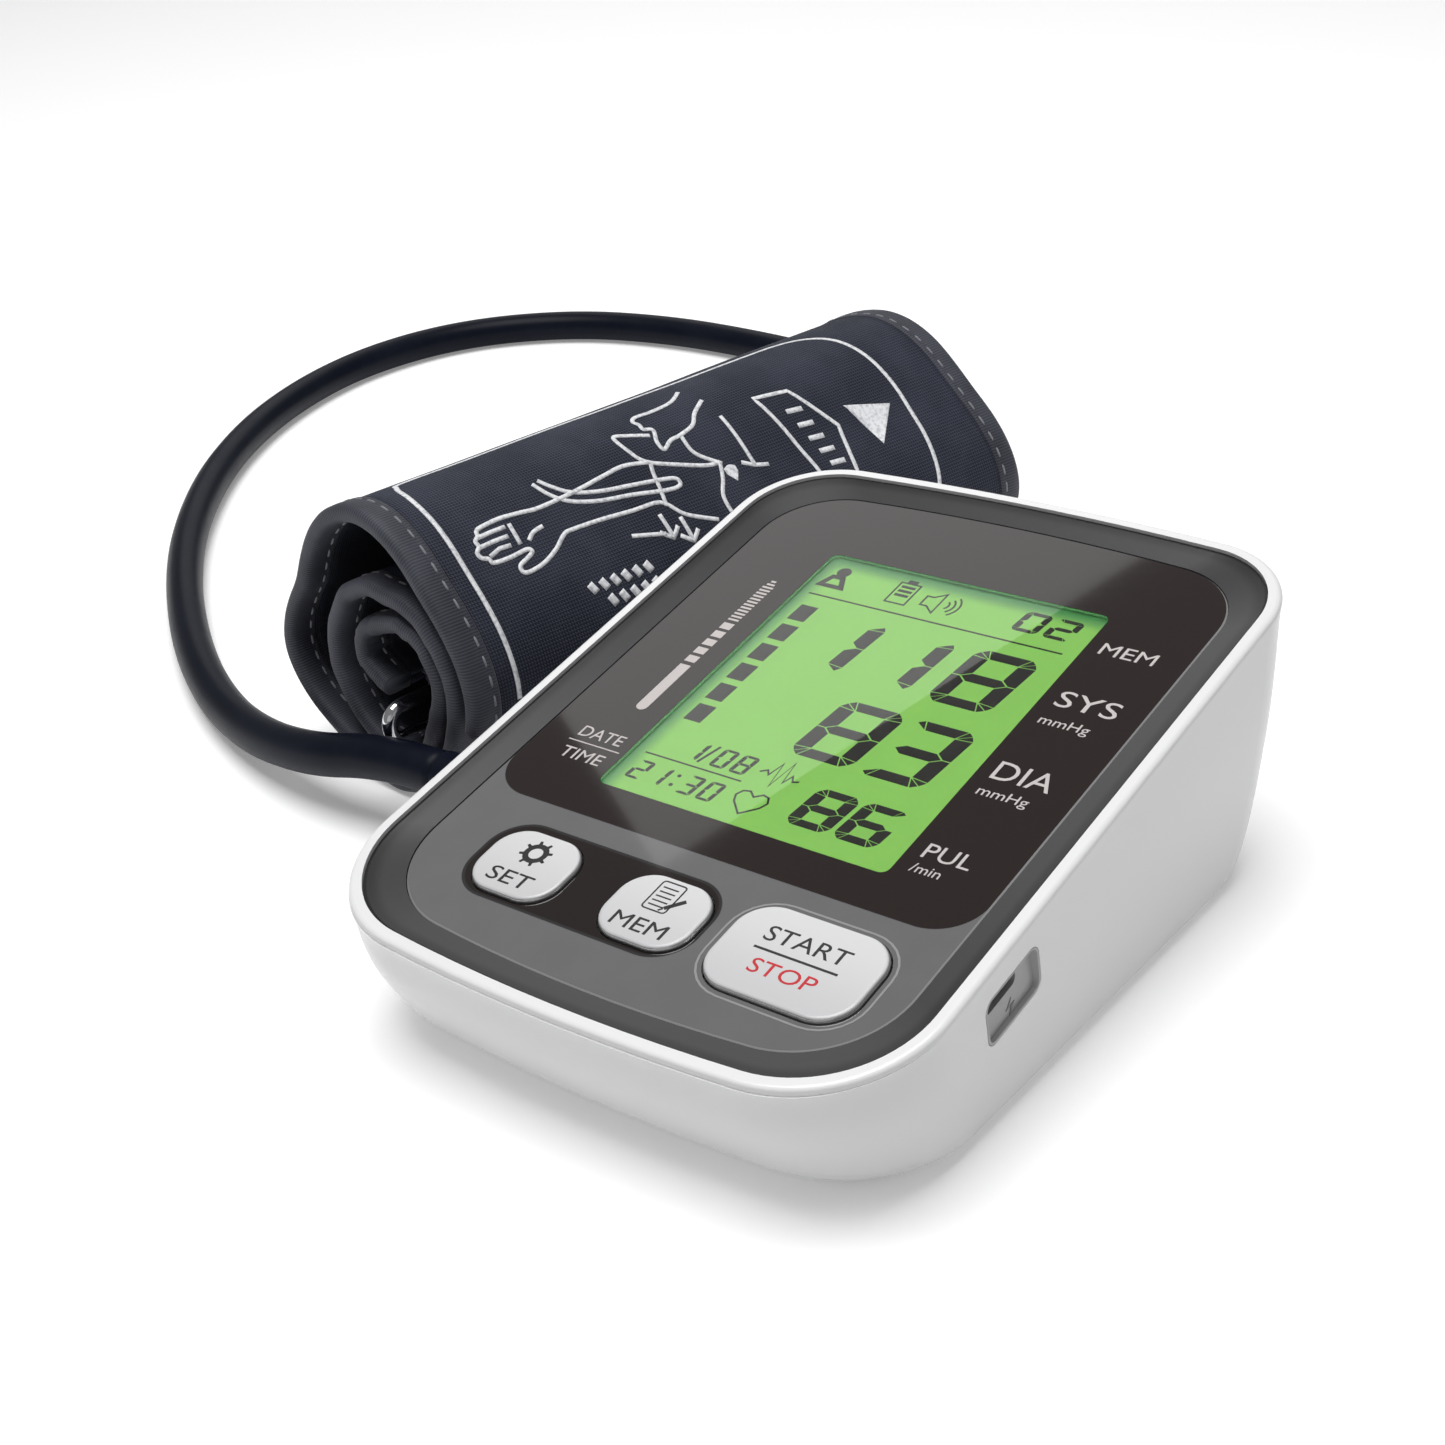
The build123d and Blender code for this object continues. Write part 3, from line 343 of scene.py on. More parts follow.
# ---- Materials ----
class Shade:
    """A material under construction; sockets are even values of its shader, with _ for a space."""

    def __init__(self, name, colour, roughness, **sockets):
        self.material = bpy.data.materials.new(name)
        self.material.use_nodes = True
        self.tree = self.material.node_tree
        self.shader = self.tree.nodes["Principled BSDF"]
        self.shader.inputs["Base Color"].default_value = (*colour, 1.0)
        self.shader.inputs["Roughness"].default_value = roughness
        for key, value in sockets.items():
            self.shader.inputs[key.replace("_", " ")].default_value = value
        self.place = self.add("ShaderNodeTexCoord", {}).outputs["Object"]

    def add(self, kind, inputs, **settings):
        """A shader node with its settings and its inputs, which are values or other nodes' outputs."""
        made = self.tree.nodes.new(kind)
        for key, value in settings.items():
            setattr(made, key, value)
        for key, value in inputs.items():
            if isinstance(value, bpy.types.NodeSocket):
                self.tree.links.new(value, made.inputs[key])
            else:
                made.inputs[key].default_value = value
        return made

    def set(self, key, value):
        """Drives one of the shader's sockets."""
        self.tree.links.new(value, self.shader.inputs[key])

    def calc(self, operation, first, second=0.0, third=0.0):
        """The result of a math node."""
        return self.add("ShaderNodeMath", {0: first, 1: second, 2: third}, operation=operation).outputs[0]

    def blend(self, factor, low, high):
        """A colour between two others, each a value or a socket."""
        low, high = (c if isinstance(c, bpy.types.NodeSocket) else (*c, 1.0) for c in (low, high))
        return self.add("ShaderNodeMix", {0: factor, 6: low, 7: high}, data_type="RGBA").outputs[2]

    def step(self, value, low, high):
        """0 below low, 1 above high, eased between."""
        inputs = {0: value, 1: low, 2: high, 3: 0.0, 4: 1.0}
        return self.add("ShaderNodeMapRange", inputs, interpolation_type="SMOOTHSTEP").outputs[0]

    def noise(self, scale, detail=3.0, roughness=0.5):
        """Noise over the object's own coordinates."""
        inputs = {"Vector": self.place, "Scale": scale, "Detail": detail, "Roughness": roughness}
        return self.add("ShaderNodeTexNoise", inputs).outputs[0]

    def split(self, vector):
        """The three parts of a vector."""
        return self.add("ShaderNodeSeparateXYZ", {0: vector}).outputs[:3]

    def bump(self, height, depth):
        """Relief of a depth in millimetres."""
        bump = self.add("ShaderNodeBump", {"Height": height, "Distance": depth * MM, "Strength": 1.0})
        self.set("Normal", bump.outputs[0])

    def strip(self):
        """The length and the width along a cloth strip, in millimetres."""
        strip = self.add("ShaderNodeAttribute", {}, attribute_name="strip", attribute_type="GEOMETRY")
        return self.split(strip.outputs["Vector"])[:2]

    def face(self):
        """The (u, v, n) of the sloping face, in millimetres."""
        shift = (0.0, -FACE_Z * math.sin(SLOPE), -FACE_Z * math.cos(SLOPE))
        inputs = {"Vector": self.place, "Location": shift, "Rotation": (-SLOPE, 0.0, 0.0),
                  "Scale": (1 / MM,) * 3}
        return self.split(self.add("ShaderNodeMapping", inputs).outputs[0])

    def rounded_distance(self, u, v, centre, size, radius):
        """Distance outside a rounded rectangle, in millimetres; negative inside."""
        reach = []
        for value, middle, extent in zip((u, v), centre, size):
            away = self.calc("ABSOLUTE", self.calc("SUBTRACT", value, middle))
            reach.append(self.calc("SUBTRACT", away, extent / 2 - radius))
        outside = [self.calc("POWER", self.calc("MAXIMUM", r, 0.0), 2.0) for r in reach]
        length = self.calc("SQRT", self.calc("ADD", *outside))
        inside = self.calc("MINIMUM", self.calc("MAXIMUM", *reach), 0.0)
        return self.calc("SUBTRACT", self.calc("ADD", length, inside), radius)

    def off_face(self, low, high):
        """1 where a surface turns away from the face's own direction, as on a rounded or chamfered edge."""
        normal = self.add("ShaderNodeNewGeometry", {}).outputs["Normal"]
        along = (0.0, -math.sin(SLOPE), math.cos(SLOPE))
        lean = self.add("ShaderNodeVectorMath", {0: normal, 1: along}, operation="DOT_PRODUCT")
        return self.calc("SUBTRACT", 1.0, self.step(lean.outputs["Value"], low, high))


def moulded(name, colour, roughness, grain, depth, shade, spread, metallic):
    """Plastic, rubber or metal: grain of a size in millimetres, faint clouding and uneven gloss."""
    m = Shade(name, colour, roughness, Metallic=metallic)
    cloud = m.noise(60.0, 4.0)
    fine = m.noise(1.0 / (grain * MM), 2.0)
    darker = tuple(c * shade for c in colour)
    m.set("Base Color", m.blend(m.step(cloud, 0.3, 0.7), darker, colour))
    gloss = m.calc("MULTIPLY_ADD", m.calc("ADD", cloud, fine), spread, roughness - spread)
    m.set("Roughness", gloss)
    m.bump(fine, depth)
    return m.material


def shell_material():
    """White satin plastic with painted shade: a little greyer on the steep walls than on the rim and the
    other surfaces that face up, where more light falls.
    """
    m = Shade("white_plastic", (0.8, 0.8, 0.805), 0.3, Coat_Weight=0.25, Coat_Roughness=0.12)
    upward = m.split(m.add("ShaderNodeNewGeometry", {}).outputs["Normal"])[2]
    cloud = m.noise(60.0, 4.0)
    # painted shade: a greyer colour for the steep walls, lighter for surfaces that face up
    painted_wall = m.blend(cloud, (0.61, 0.61, 0.615), (0.62, 0.62, 0.625))
    m.set("Base Color", m.blend(m.step(upward, 0.2, 0.75), painted_wall, (0.86, 0.86, 0.865)))
    fine = m.noise(4000.0, 2.0)
    m.set("Roughness", m.calc("MULTIPLY_ADD", fine, 0.05, 0.27))
    m.bump(fine, 0.001)
    return m.material


def frame_material():
    """Dark satin frame: a near-black band along the white rim, painted shade of the groove there, then a
    greyer bevel down to the panel.
    """
    m = Shade("dark_plastic", (0.03, 0.03, 0.032), 0.34)
    _, _, level = m.face()
    cloud = m.noise(60.0, 4.0)
    bevel = m.blend(cloud, (0.026, 0.026, 0.028), (0.032, 0.032, 0.034))
    # painted shade: the top of the frame, along the white rim's groove, is coloured near-black
    m.set("Base Color", m.blend(m.step(level, -1.15, -0.7), bevel, (0.007, 0.007, 0.008)))
    fine = m.noise(3300.0, 2.0)
    m.set("Roughness", m.calc("MULTIPLY_ADD", fine, 0.08, 0.30))
    m.bump(fine, 0.006)
    return m.material


def panel_material():
    """Glossy panel, printed from behind: brown-black round the display, grey below, dark round two keys; a
    painted highlight on its rounded outer edge and a painted green reflection of the display on the wall of
    the display's opening.
    """
    dark, grey, field = (0.018, 0.0115, 0.0105), (0.150, 0.150, 0.153), (0.015, 0.0100, 0.0090)
    m = Shade("panel_print", grey, 0.06, Coat_Weight=0.4, Coat_Roughness=0.03, Specular_IOR_Level=0.5)
    u, v, _ = m.face()
    cloud = m.noise(140.0, 3.0)
    top = m.rounded_distance(u, v, (0.0, 29.0), (89.0, 120.0), 8.0)
    pill = m.rounded_distance(u, v, (-12.1, -44.1), (43.6, 16.6), 6.6)
    line = m.calc("ABSOLUTE", pill)
    colour = m.blend(m.step(cloud, 0.3, 0.7), grey, tuple(c * 1.05 for c in grey))
    colour = m.blend(m.step(top, 0.1, -0.1), colour, dark)
    colour = m.blend(m.step(pill, 0.08, -0.08), colour, field)
    colour = m.blend(m.step(line, 0.35, 0.15), colour, (0.03, 0.028, 0.028))
    # painted highlight: the panel's rounded outer edge is coloured light grey
    steep = m.off_face(0.8, 0.98)
    rim = m.rounded_distance(u, v, (0.0, 0.3), (84.0, 118.0), 13.0)
    edge = m.calc("MULTIPLY", steep, m.step(rim, 0.0, 0.6))
    colour = m.blend(edge, colour, (0.36, 0.36, 0.36))
    # painted reflection: the wall of the display's opening is coloured with the display's green
    opening = m.rounded_distance(u, v, (0.0, WINDOW_MIDDLE), WINDOW_SIZE, 1.0)
    painted_wall = m.calc("MULTIPLY", steep, m.step(opening, 2.0, 1.0))
    colour = m.blend(painted_wall, colour, LCD_SHADE_AND_REFLECTION)
    m.set("Base Color", colour)
    fine = m.noise(900.0, 2.0)
    rough = m.calc("MULTIPLY_ADD", fine, 0.04, 0.035)
    m.set("Roughness", m.calc("MULTIPLY_ADD", edge, 0.25, rough))
    m.bump(m.noise(45.0, 1.0), 0.01)
    return m.material


def button_material():
    """Silver-white satin cap with a bright rounded edge, and painted light that makes it lighter towards the
    back of the face.
    """
    m = Shade("button_satin", (0.66, 0.66, 0.67), 0.3, Coat_Weight=0.25, Coat_Roughness=0.15)
    edge = m.off_face(0.55, 0.93)
    _, v, _ = m.face()
    # painted light: the caps are coloured lighter towards the back of the face
    painted_shine = m.step(v, -54.0, -36.0)
    body = m.blend(painted_shine, (0.60, 0.60, 0.61), (0.72, 0.72, 0.725))
    m.set("Base Color", m.blend(edge, body, (0.62, 0.62, 0.63)))
    m.set("Metallic", m.calc("MULTIPLY", edge, 0.85))
    fine = m.noise(2200.0, 2.0)
    rough = m.calc("MULTIPLY_ADD", edge, -0.2, m.calc("MULTIPLY_ADD", fine, 0.1, 0.28))
    m.set("Roughness", rough)
    m.bump(fine, 0.004)
    return m.material


def lcd_material():
    """Lit green display, darker along its top and left edges where the window's rim shades it."""
    m = Shade("lcd_green", (0.2, 0.5, 0.09), 0.35)
    u, v, _ = m.face()
    wobble = m.noise(30.0, 2.0)
    left = m.step(u, -27.2, -23.6)
    top = m.step(v, 44.0, 40.4)
    lit = m.calc("MULTIPLY", left, top)
    bright = m.blend(wobble, (0.200, 0.490, 0.070), (0.218, 0.512, 0.080))
    colour = m.blend(lit, LCD_SHADE_AND_REFLECTION, bright)
    m.set("Base Color", colour)
    m.set("Emission Color", colour)
    m.shader.inputs["Emission Strength"].default_value = 0.42
    fine = m.noise(3000.0, 1.0)
    m.bump(fine, 0.002)
    return m.material


def window_material():
    """Clear window, very faintly uneven in tint."""
    m = Shade("clear_window", (0.98, 0.99, 0.98), 0.0, Transmission_Weight=1.0, IOR=1.46)
    smear = m.noise(70.0, 3.0)
    m.set("Base Color", m.blend(smear, (0.97, 0.98, 0.97), (0.99, 1.0, 0.99)))
    return m.material


def weave_height(m, along, across, pitch):
    """Relief of a plain weave over two lengths in millimetres."""
    waves = []
    for first, second in ((along, across), (across, along)):
        wave = m.calc("SINE", m.calc("MULTIPLY", first, 2 * math.pi / pitch))
        side = m.calc("SINE", m.calc("MULTIPLY", second, math.pi / pitch))
        waves.append(m.calc("MULTIPLY", wave, m.calc("ABSOLUTE", side)))
    return m.calc("MAXIMUM", *waves)


def fabric_material(name, colour, lighter, roughness, pitch, depth):
    """Woven nylon: a grid of threads along the strip and across it, with faint lighter patches at random."""
    m = Shade(name, colour, roughness, Specular_IOR_Level=0.16)
    height = weave_height(m, *m.strip(), pitch)
    thread = m.step(height, 0.0, 0.95)
    cloud = m.step(m.noise(55.0, 5.0, 0.6), 0.35, 0.7)
    tone = m.calc("MULTIPLY_ADD", cloud, 0.22, m.calc("MULTIPLY", thread, 0.62))
    m.set("Base Color", m.blend(tone, colour, lighter))
    m.set("Roughness", m.calc("MULTIPLY_ADD", thread, -0.12, roughness))
    m.bump(height, depth)
    return m.material


def tape_material(name, colour, lighter, pitch):
    """Ribbed binding tape: fine ribs across its length."""
    m = Shade(name, colour, 0.62, Sheen_Weight=0.08, Sheen_Roughness=0.4, Specular_IOR_Level=0.35)
    rib = m.calc("SINE", m.calc("MULTIPLY", m.strip()[0], 2 * math.pi / pitch))
    rib = m.calc("MULTIPLY_ADD", rib, 0.5, 0.5)
    cloud = m.step(m.noise(80.0, 4.0), 0.35, 0.7)
    tone = m.calc("MULTIPLY_ADD", cloud, 0.4, m.calc("MULTIPLY", rib, 0.6))
    m.set("Base Color", m.blend(tone, colour, lighter))
    m.bump(rib, 0.02)
    return m.material


def hose_material():
    """Matt rubber with a fine extruded grain and a faint bloom."""
    m = Shade("hose_rubber", (0.006, 0.007, 0.012), 0.42, Specular_IOR_Level=0.10)
    bloom = m.step(m.noise(40.0, 5.0, 0.6), 0.35, 0.75)
    m.set("Base Color", m.blend(bloom, (0.0035, 0.0048, 0.011), (0.0075, 0.0095, 0.018)))
    fine = m.noise(2600.0, 3.0)
    m.set("Roughness", m.calc("MULTIPLY_ADD", fine, 0.12, m.calc("MULTIPLY_ADD", bloom, 0.08, 0.32)))
    m.bump(fine, 0.008)
    return m.material


def board_material():
    """Green solder mask with faint traces."""
    m = Shade("board_green", (0.01, 0.12, 0.04), 0.35, Coat_Weight=0.3)
    bricks = m.add("ShaderNodeTexBrick", {
        "Vector": m.place, "Scale": 160.0, "Mortar Size": 0.03,
        "Color1": (0.012, 0.13, 0.045, 1), "Color2": (0.008, 0.10, 0.035, 1), "Mortar": (0.03, 0.22, 0.08, 1),
    })
    m.set("Base Color", bricks.outputs[0])
    m.bump(bricks.outputs[1], 0.02)
    return m.material


def cell_material():
    """Printed cell jacket with a copper-coloured end, blended along the cell."""
    m = Shade("cell_jacket", (0.05, 0.09, 0.16), 0.25, Metallic=0.4)
    band = m.step(m.split(m.place)[1], 0.026, 0.027)
    cloud = m.noise(90.0, 3.0)
    base = m.blend(cloud, (0.04, 0.08, 0.15), (0.06, 0.11, 0.19))
    m.set("Base Color", m.blend(band, base, (0.55, 0.30, 0.14)))
    m.bump(m.noise(1500.0, 2.0), 0.004)
    return m.material


# slot: colour, roughness, grain, depth of the grain, shade of the clouding, spread of the gloss, metallic
MOULDED = {
    "grey_white_plastic": ((0.70, 0.70, 0.70), 0.5, 0.5, 0.015, 0.97, 0.06, 0.0),
    "light_guide": ((0.75, 0.80, 0.72), 0.3, 0.4, 0.006, 0.93, 0.06, 0.0),
    "rubber_grey": ((0.10, 0.10, 0.105), 0.65, 0.3, 0.02, 0.93, 0.06, 0.0),
    "steel": ((0.60, 0.60, 0.61), 0.25, 0.3, 0.004, 0.9, 0.06, 1.0),
    "grey_plastic": ((0.30, 0.30, 0.305), 0.38, 0.3, 0.006, 0.93, 0.06, 0.0),
    "contact_metal": ((0.72, 0.70, 0.66), 0.22, 0.4, 0.004, 0.92, 0.06, 1.0),
    "motor_steel": ((0.50, 0.50, 0.52), 0.32, 0.4, 0.006, 0.9, 0.06, 1.0),
    "black_plastic": ((0.03, 0.03, 0.032), 0.45, 0.4, 0.015, 0.93, 0.06, 0.0),
    "hose_plug": ((0.030, 0.032, 0.040), 0.42, 0.3, 0.010, 0.93, 0.06, 0.0),
    "bladder_film": ((0.06, 0.06, 0.065), 0.4, 0.6, 0.02, 0.93, 0.06, 0.0),
    "bar_chrome": ((0.80, 0.81, 0.83), 0.09, 0.5, 0.0015, 0.97, 0.03, 1.0),
}


def make_slot_materials():
    """One material for each of the record's material slots."""
    materials = {slot: moulded(slot, *values) for slot, values in MOULDED.items()}
    materials.update({
        "white_plastic": shell_material(),
        "dark_plastic": frame_material(),
        "printed_panel": panel_material(),
        "clear_window": window_material(),
        "button_silver": button_material(),
        "lcd": lcd_material(),
        "board_green": board_material(),
        "cell_jacket": cell_material(),
        "hose_rubber": hose_material(),
        "cuff_nylon": fabric_material("cuff_nylon", NYLON_DARK, NYLON_LIGHT, 0.72, 0.62, 0.05),
        "cuff_lining": fabric_material("cuff_lining", LINING_DARK, LINING_LIGHT, 0.75, 0.55, 0.03),
        "cuff_binding": tape_material("cuff_binding", TAPE_DARK, TAPE_LIGHT, 0.55),
    })
    return materials


NODES_OF_SLOT = {
    "white_plastic": ["upper_shell"],
    "grey_white_plastic": ["base_cover", "battery_door"],
    "dark_plastic": ["face_frame"],
    "printed_panel": ["front_panel"],
    "clear_window": ["display_window"],
    "button_silver": ["set_button", "memory_button", "start_stop_button"],
    "lcd": ["lcd_glass"],
    "light_guide": ["backlight"],
    "rubber_grey": ["rubber_keypad", "rubber_feet", "zebra_strip", "pump_tube", "valve_tube", "sensor_tube",
                    "socket_tube"],
    "board_green": ["circuit_board"],
    "steel": ["case_screws", "board_screws", "usb_socket"],
    "grey_plastic": ["usb_bezel", "air_socket"],
    "contact_metal": ["contact_plates", "contact_springs"],
    "cell_jacket": ["aa_cell_1", "aa_cell_2", "aa_cell_3", "aa_cell_4"],
    "motor_steel": ["pump_motor"],
    "black_plastic": ["pump_head", "air_manifold", "release_valve", "pressure_sensor"],
    "hose_plug": ["air_plug"],
    "hose_rubber": ["plug_sleeve", "cuff_hose_sleeve", "cuff_air_port"],
    "bar_chrome": ["cuff_bar"],
}


def dress_nodes(materials):
    """Gives every node of the part that stays in view the material of its record slot."""
    for slot, names in NODES_OF_SLOT.items():
        for name in names:
            piece = NODES[name]
            if not piece.material_slots:
                piece.data.materials.append(materials[slot])
            for holder in piece.material_slots:
                holder.material = materials[slot]


# ---- The hose ----
def route_curve(radius):
    """The hose's route as one smooth curve; a radius makes it a tube."""
    curve = bpy.data.curves.new("hose_route", "CURVE")
    curve.dimensions = "3D"
    curve.resolution_u = 12
    curve.bevel_depth = radius * MM
    curve.bevel_resolution = 7
    curve.use_fill_caps = radius > 0
    spline = curve.splines.new("NURBS")
    spline.points.add(len(HOSE_ROUTE) - 1)
    for point, place in zip(spline.points, HOSE_ROUTE):
        point.co = (*(Vector(place) * MM), 1)
    spline.order_u = 3
    spline.use_endpoint_u = True
    return mesh_of_curve(curve)


def make_hose(materials):
    """The air hose: a tube along the route, in place of the part's own hose."""
    path = [p.co.copy() for p in route_curve(0).vertices]
    mesh = route_curve(HOSE_RADIUS)
    work = bmesh.new()
    work.from_mesh(mesh)
    bmesh.ops.remove_doubles(work, verts=work.verts, dist=0.00001)
    work.to_mesh(mesh)
    work.free()
    hose = link_mesh("hose_tube", mesh, materials["hose_rubber"], None)
    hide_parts("air_hose")
    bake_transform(hose)
    return hose


# ---- The rolled strip ----
def roll_row(rows, turns):
    """A table's values at a number of turns, eased between its rows."""
    for low, high in zip(rows, rows[1:]):
        if turns <= high[0]:
            share = (turns - low[0]) / (high[0] - low[0])
            share = share * share * (3 - 2 * share)
            return [a + (b - a) * share for a, b in zip(low[1:], high[1:])]
    return rows[-1][1:]


def roll_point(turns, offset, along):
    """A point of the strip: turns from its outer end, offset outwards from its midline, along the roll."""
    share = along / CUFF_WIDTH
    near = roll_row(ROLL_NEAR, turns)
    far = roll_row(ROLL_FAR, turns)
    a, b, centre_s, centre_z = [p + (q - p) * share for p, q in zip(near, far)]
    form_near, form_far = roll_row(ROLL_FORM, turns)
    form = form_near + (form_far - form_near) * share
    angle = ROLL_START + 2 * math.pi * turns
    across, upward = math.cos(angle) / a, math.sin(angle) / b
    size = math.hypot(across, upward)
    offset += crease(turns, along)
    s = centre_s + form * a * math.cos(angle) + offset * across / size
    z = centre_z + form * b * math.sin(angle) + offset * upward / size
    return CUFF_ORIGIN + CUFF_SIDE * s + CUFF_AXIS * along + Vector((0, 0, max(z, 0.02)))


def crease(turns, along):
    """Soft unevenness of the cloth: long shallow folds, stronger on the inner turns."""
    inner = min(1.0, max(0.0, (turns - 0.9) / 0.5))
    place = Vector((turns * 9.0, along * 0.022, 3.0))
    return noise.noise(place) * (0.35 + 0.7 * inner) + noise.noise(place * 2.7) * (0.10 + 0.40 * inner)


def strip_turns(along, step):
    """Turns at which an even step of length has been covered along the strip, and those lengths."""
    count = 1200
    table = [(0.0, 0.0)]
    before = roll_point(0, 0, along)
    for i in range(1, count + 1):
        turns = ROLL_TURNS * i / count
        here = roll_point(turns, 0, along)
        table.append((turns, table[-1][1] + (here - before).length))
        before = here
    total = table[-1][1]
    steps = max(2, round(total / step))
    found, index = [], 0
    for i in range(steps + 1):
        target = total * i / steps
        while index < count - 1 and table[index + 1][1] < target:
            index += 1
        low, high = table[index], table[index + 1]
        share = min(1.0, (target - low[1]) / (high[1] - low[1]))
        found.append((low[0] + (high[0] - low[0]) * share, target))
    return found


def rolled_piece(name, profile, step, material, window=None):
    """A closed profile of (along, offset) points, swept round the roll."""
    along_middle = sum(p[0] for p in profile) / len(profile)
    rows = strip_turns(along_middle, step)
    if window:
        rows = [r for r in rows if window[0] <= r[0] <= window[1]]
    points, strip, faces = [], [], []
    count = len(profile)
    for turns, length in rows:
        for along, offset in profile:
            points.append(roll_point(turns, offset, along))
            strip.append((length, along, offset))
    for row in range(len(rows) - 1):
        for i in range(count):
            j = (i + 1) % count
            a, b = row * count, (row + 1) * count
            faces.append([a + i, a + j, b + j, b + i])
    faces.append(list(range(count)))
    faces.append([(len(rows) - 1) * count + i for i in reversed(range(count))])
    return link_mesh(name, strip_mesh(name, points, faces, strip), material, "root")


def layer_profile(low, high, inside, outside, step):
    """Closed profile of a flat layer between two places along the roll."""
    count = round((high - low) / step)
    alongs = [low + (high - low) * i / count for i in range(count + 1)]
    return [(a, outside) for a in alongs] + [(a, inside) for a in reversed(alongs)]


def binding_profile(far):
    """Closed profile of a tape folded over the strip's edge, thinner where it is sewn down."""
    half = [(6.0, 1.46), (5.7, 1.66), (5.1, 1.72), (4.6, 1.58), (4.1, 1.74), (2.6, 1.80), (1.2, 1.74),
            (0.45, 1.35), (0.08, 0.7)]
    whole = half + [(a, -o) for a, o in reversed(half)]
    return [(CUFF_WIDTH - a, o) for a, o in reversed(whole)] if far else whole


def add_stitch(points, faces, start, end, radius):
    """A short thread between two points: a tapered six-sided rod."""
    run = (end - start).normalized()
    side = run.orthogonal().normalized()
    other = run.cross(side)
    first = len(points)
    for share, size in ((0.0, 0.35), (0.18, 1.0), (0.82, 1.0), (1.0, 0.35)):
        middle = start + (end - start) * share
        for k in range(6):
            angle = k * math.pi / 3
            place = middle + (side * math.cos(angle) + other * math.sin(angle)) * radius * size
            points.append((place.x, place.y, max(place.z, 0.01)))
    for ring in range(3):
        for k in range(6):
            a, b = first + ring * 6, first + (ring + 1) * 6
            faces.append([a + k, a + (k + 1) % 6, b + (k + 1) % 6, b + k])
    faces.append([first + k for k in reversed(range(6))])
    faces.append([first + 18 + k for k in range(6)])


def make_stitches():
    """Rows of stitches along both bindings, on the outer and the inner side of the strip."""
    points, faces = [], []
    for along in (STITCH_LINE, CUFF_WIDTH - STITCH_LINE):
        rows = strip_turns(along, 0.5)
        for side in (STITCH_OUT, -STITCH_OUT):
            for index in range(4, len(rows) - 8, 7):
                start = roll_point(rows[index][0], side, along)
                end = roll_point(rows[index + 4][0], side, along)
                add_stitch(points, faces, start, end, THREAD_RADIUS)
    m = Shade("thread", (0.22, 0.225, 0.25), 0.7, Sheen_Weight=0.3)
    twist = m.noise(2500.0, 2.0)
    m.set("Base Color", m.blend(twist, (0.12, 0.125, 0.145), (0.28, 0.285, 0.31)))
    m.bump(twist, 0.05)
    mesh = build_mesh("cuff_stitches", points, faces)
    return link_mesh("cuff_stitches", mesh, m.material, "root")


def smooth_value(t, a, b, c, d):
    """A value between b and c, on the smooth curve through all four."""
    square = 2 * a - 5 * b + 4 * c - d
    cube = 3 * b - a - 3 * c + d
    return 0.5 * (2 * b + (c - a) * t + square * t * t + cube * t ** 3)


def smooth_path(points, closed=False, steps=8):
    """A smooth line through given points."""
    count = len(points)
    last = count if closed else count - 1
    path = []
    for i in range(last):
        if closed:
            p0, p1, p2, p3 = (points[(i + k) % count] for k in (-1, 0, 1, 2))
        else:
            p0, p1, p2, p3 = points[max(0, i - 1)], points[i], points[i + 1], points[min(count - 1, i + 2)]
        for step in range(steps):
            t = step / steps
            path.append(tuple(smooth_value(t, *values) for values in zip(p0, p1, p2, p3)))
    if not closed:
        path.append(points[-1])
    return path


def cloth_frame(place):
    """The outer cloth's surface at a place (along the roll, turns), and its outward normal."""
    along, turns = place
    here = roll_point(turns, FABRIC_OUT, along)
    run = roll_point(turns + 0.002, FABRIC_OUT, along) - roll_point(turns - 0.002, FABRIC_OUT, along)
    drift = roll_point(turns, FABRIC_OUT, along + 0.5) - roll_point(turns, FABRIC_OUT, along - 0.5)
    return here, drift.cross(run).normalized()


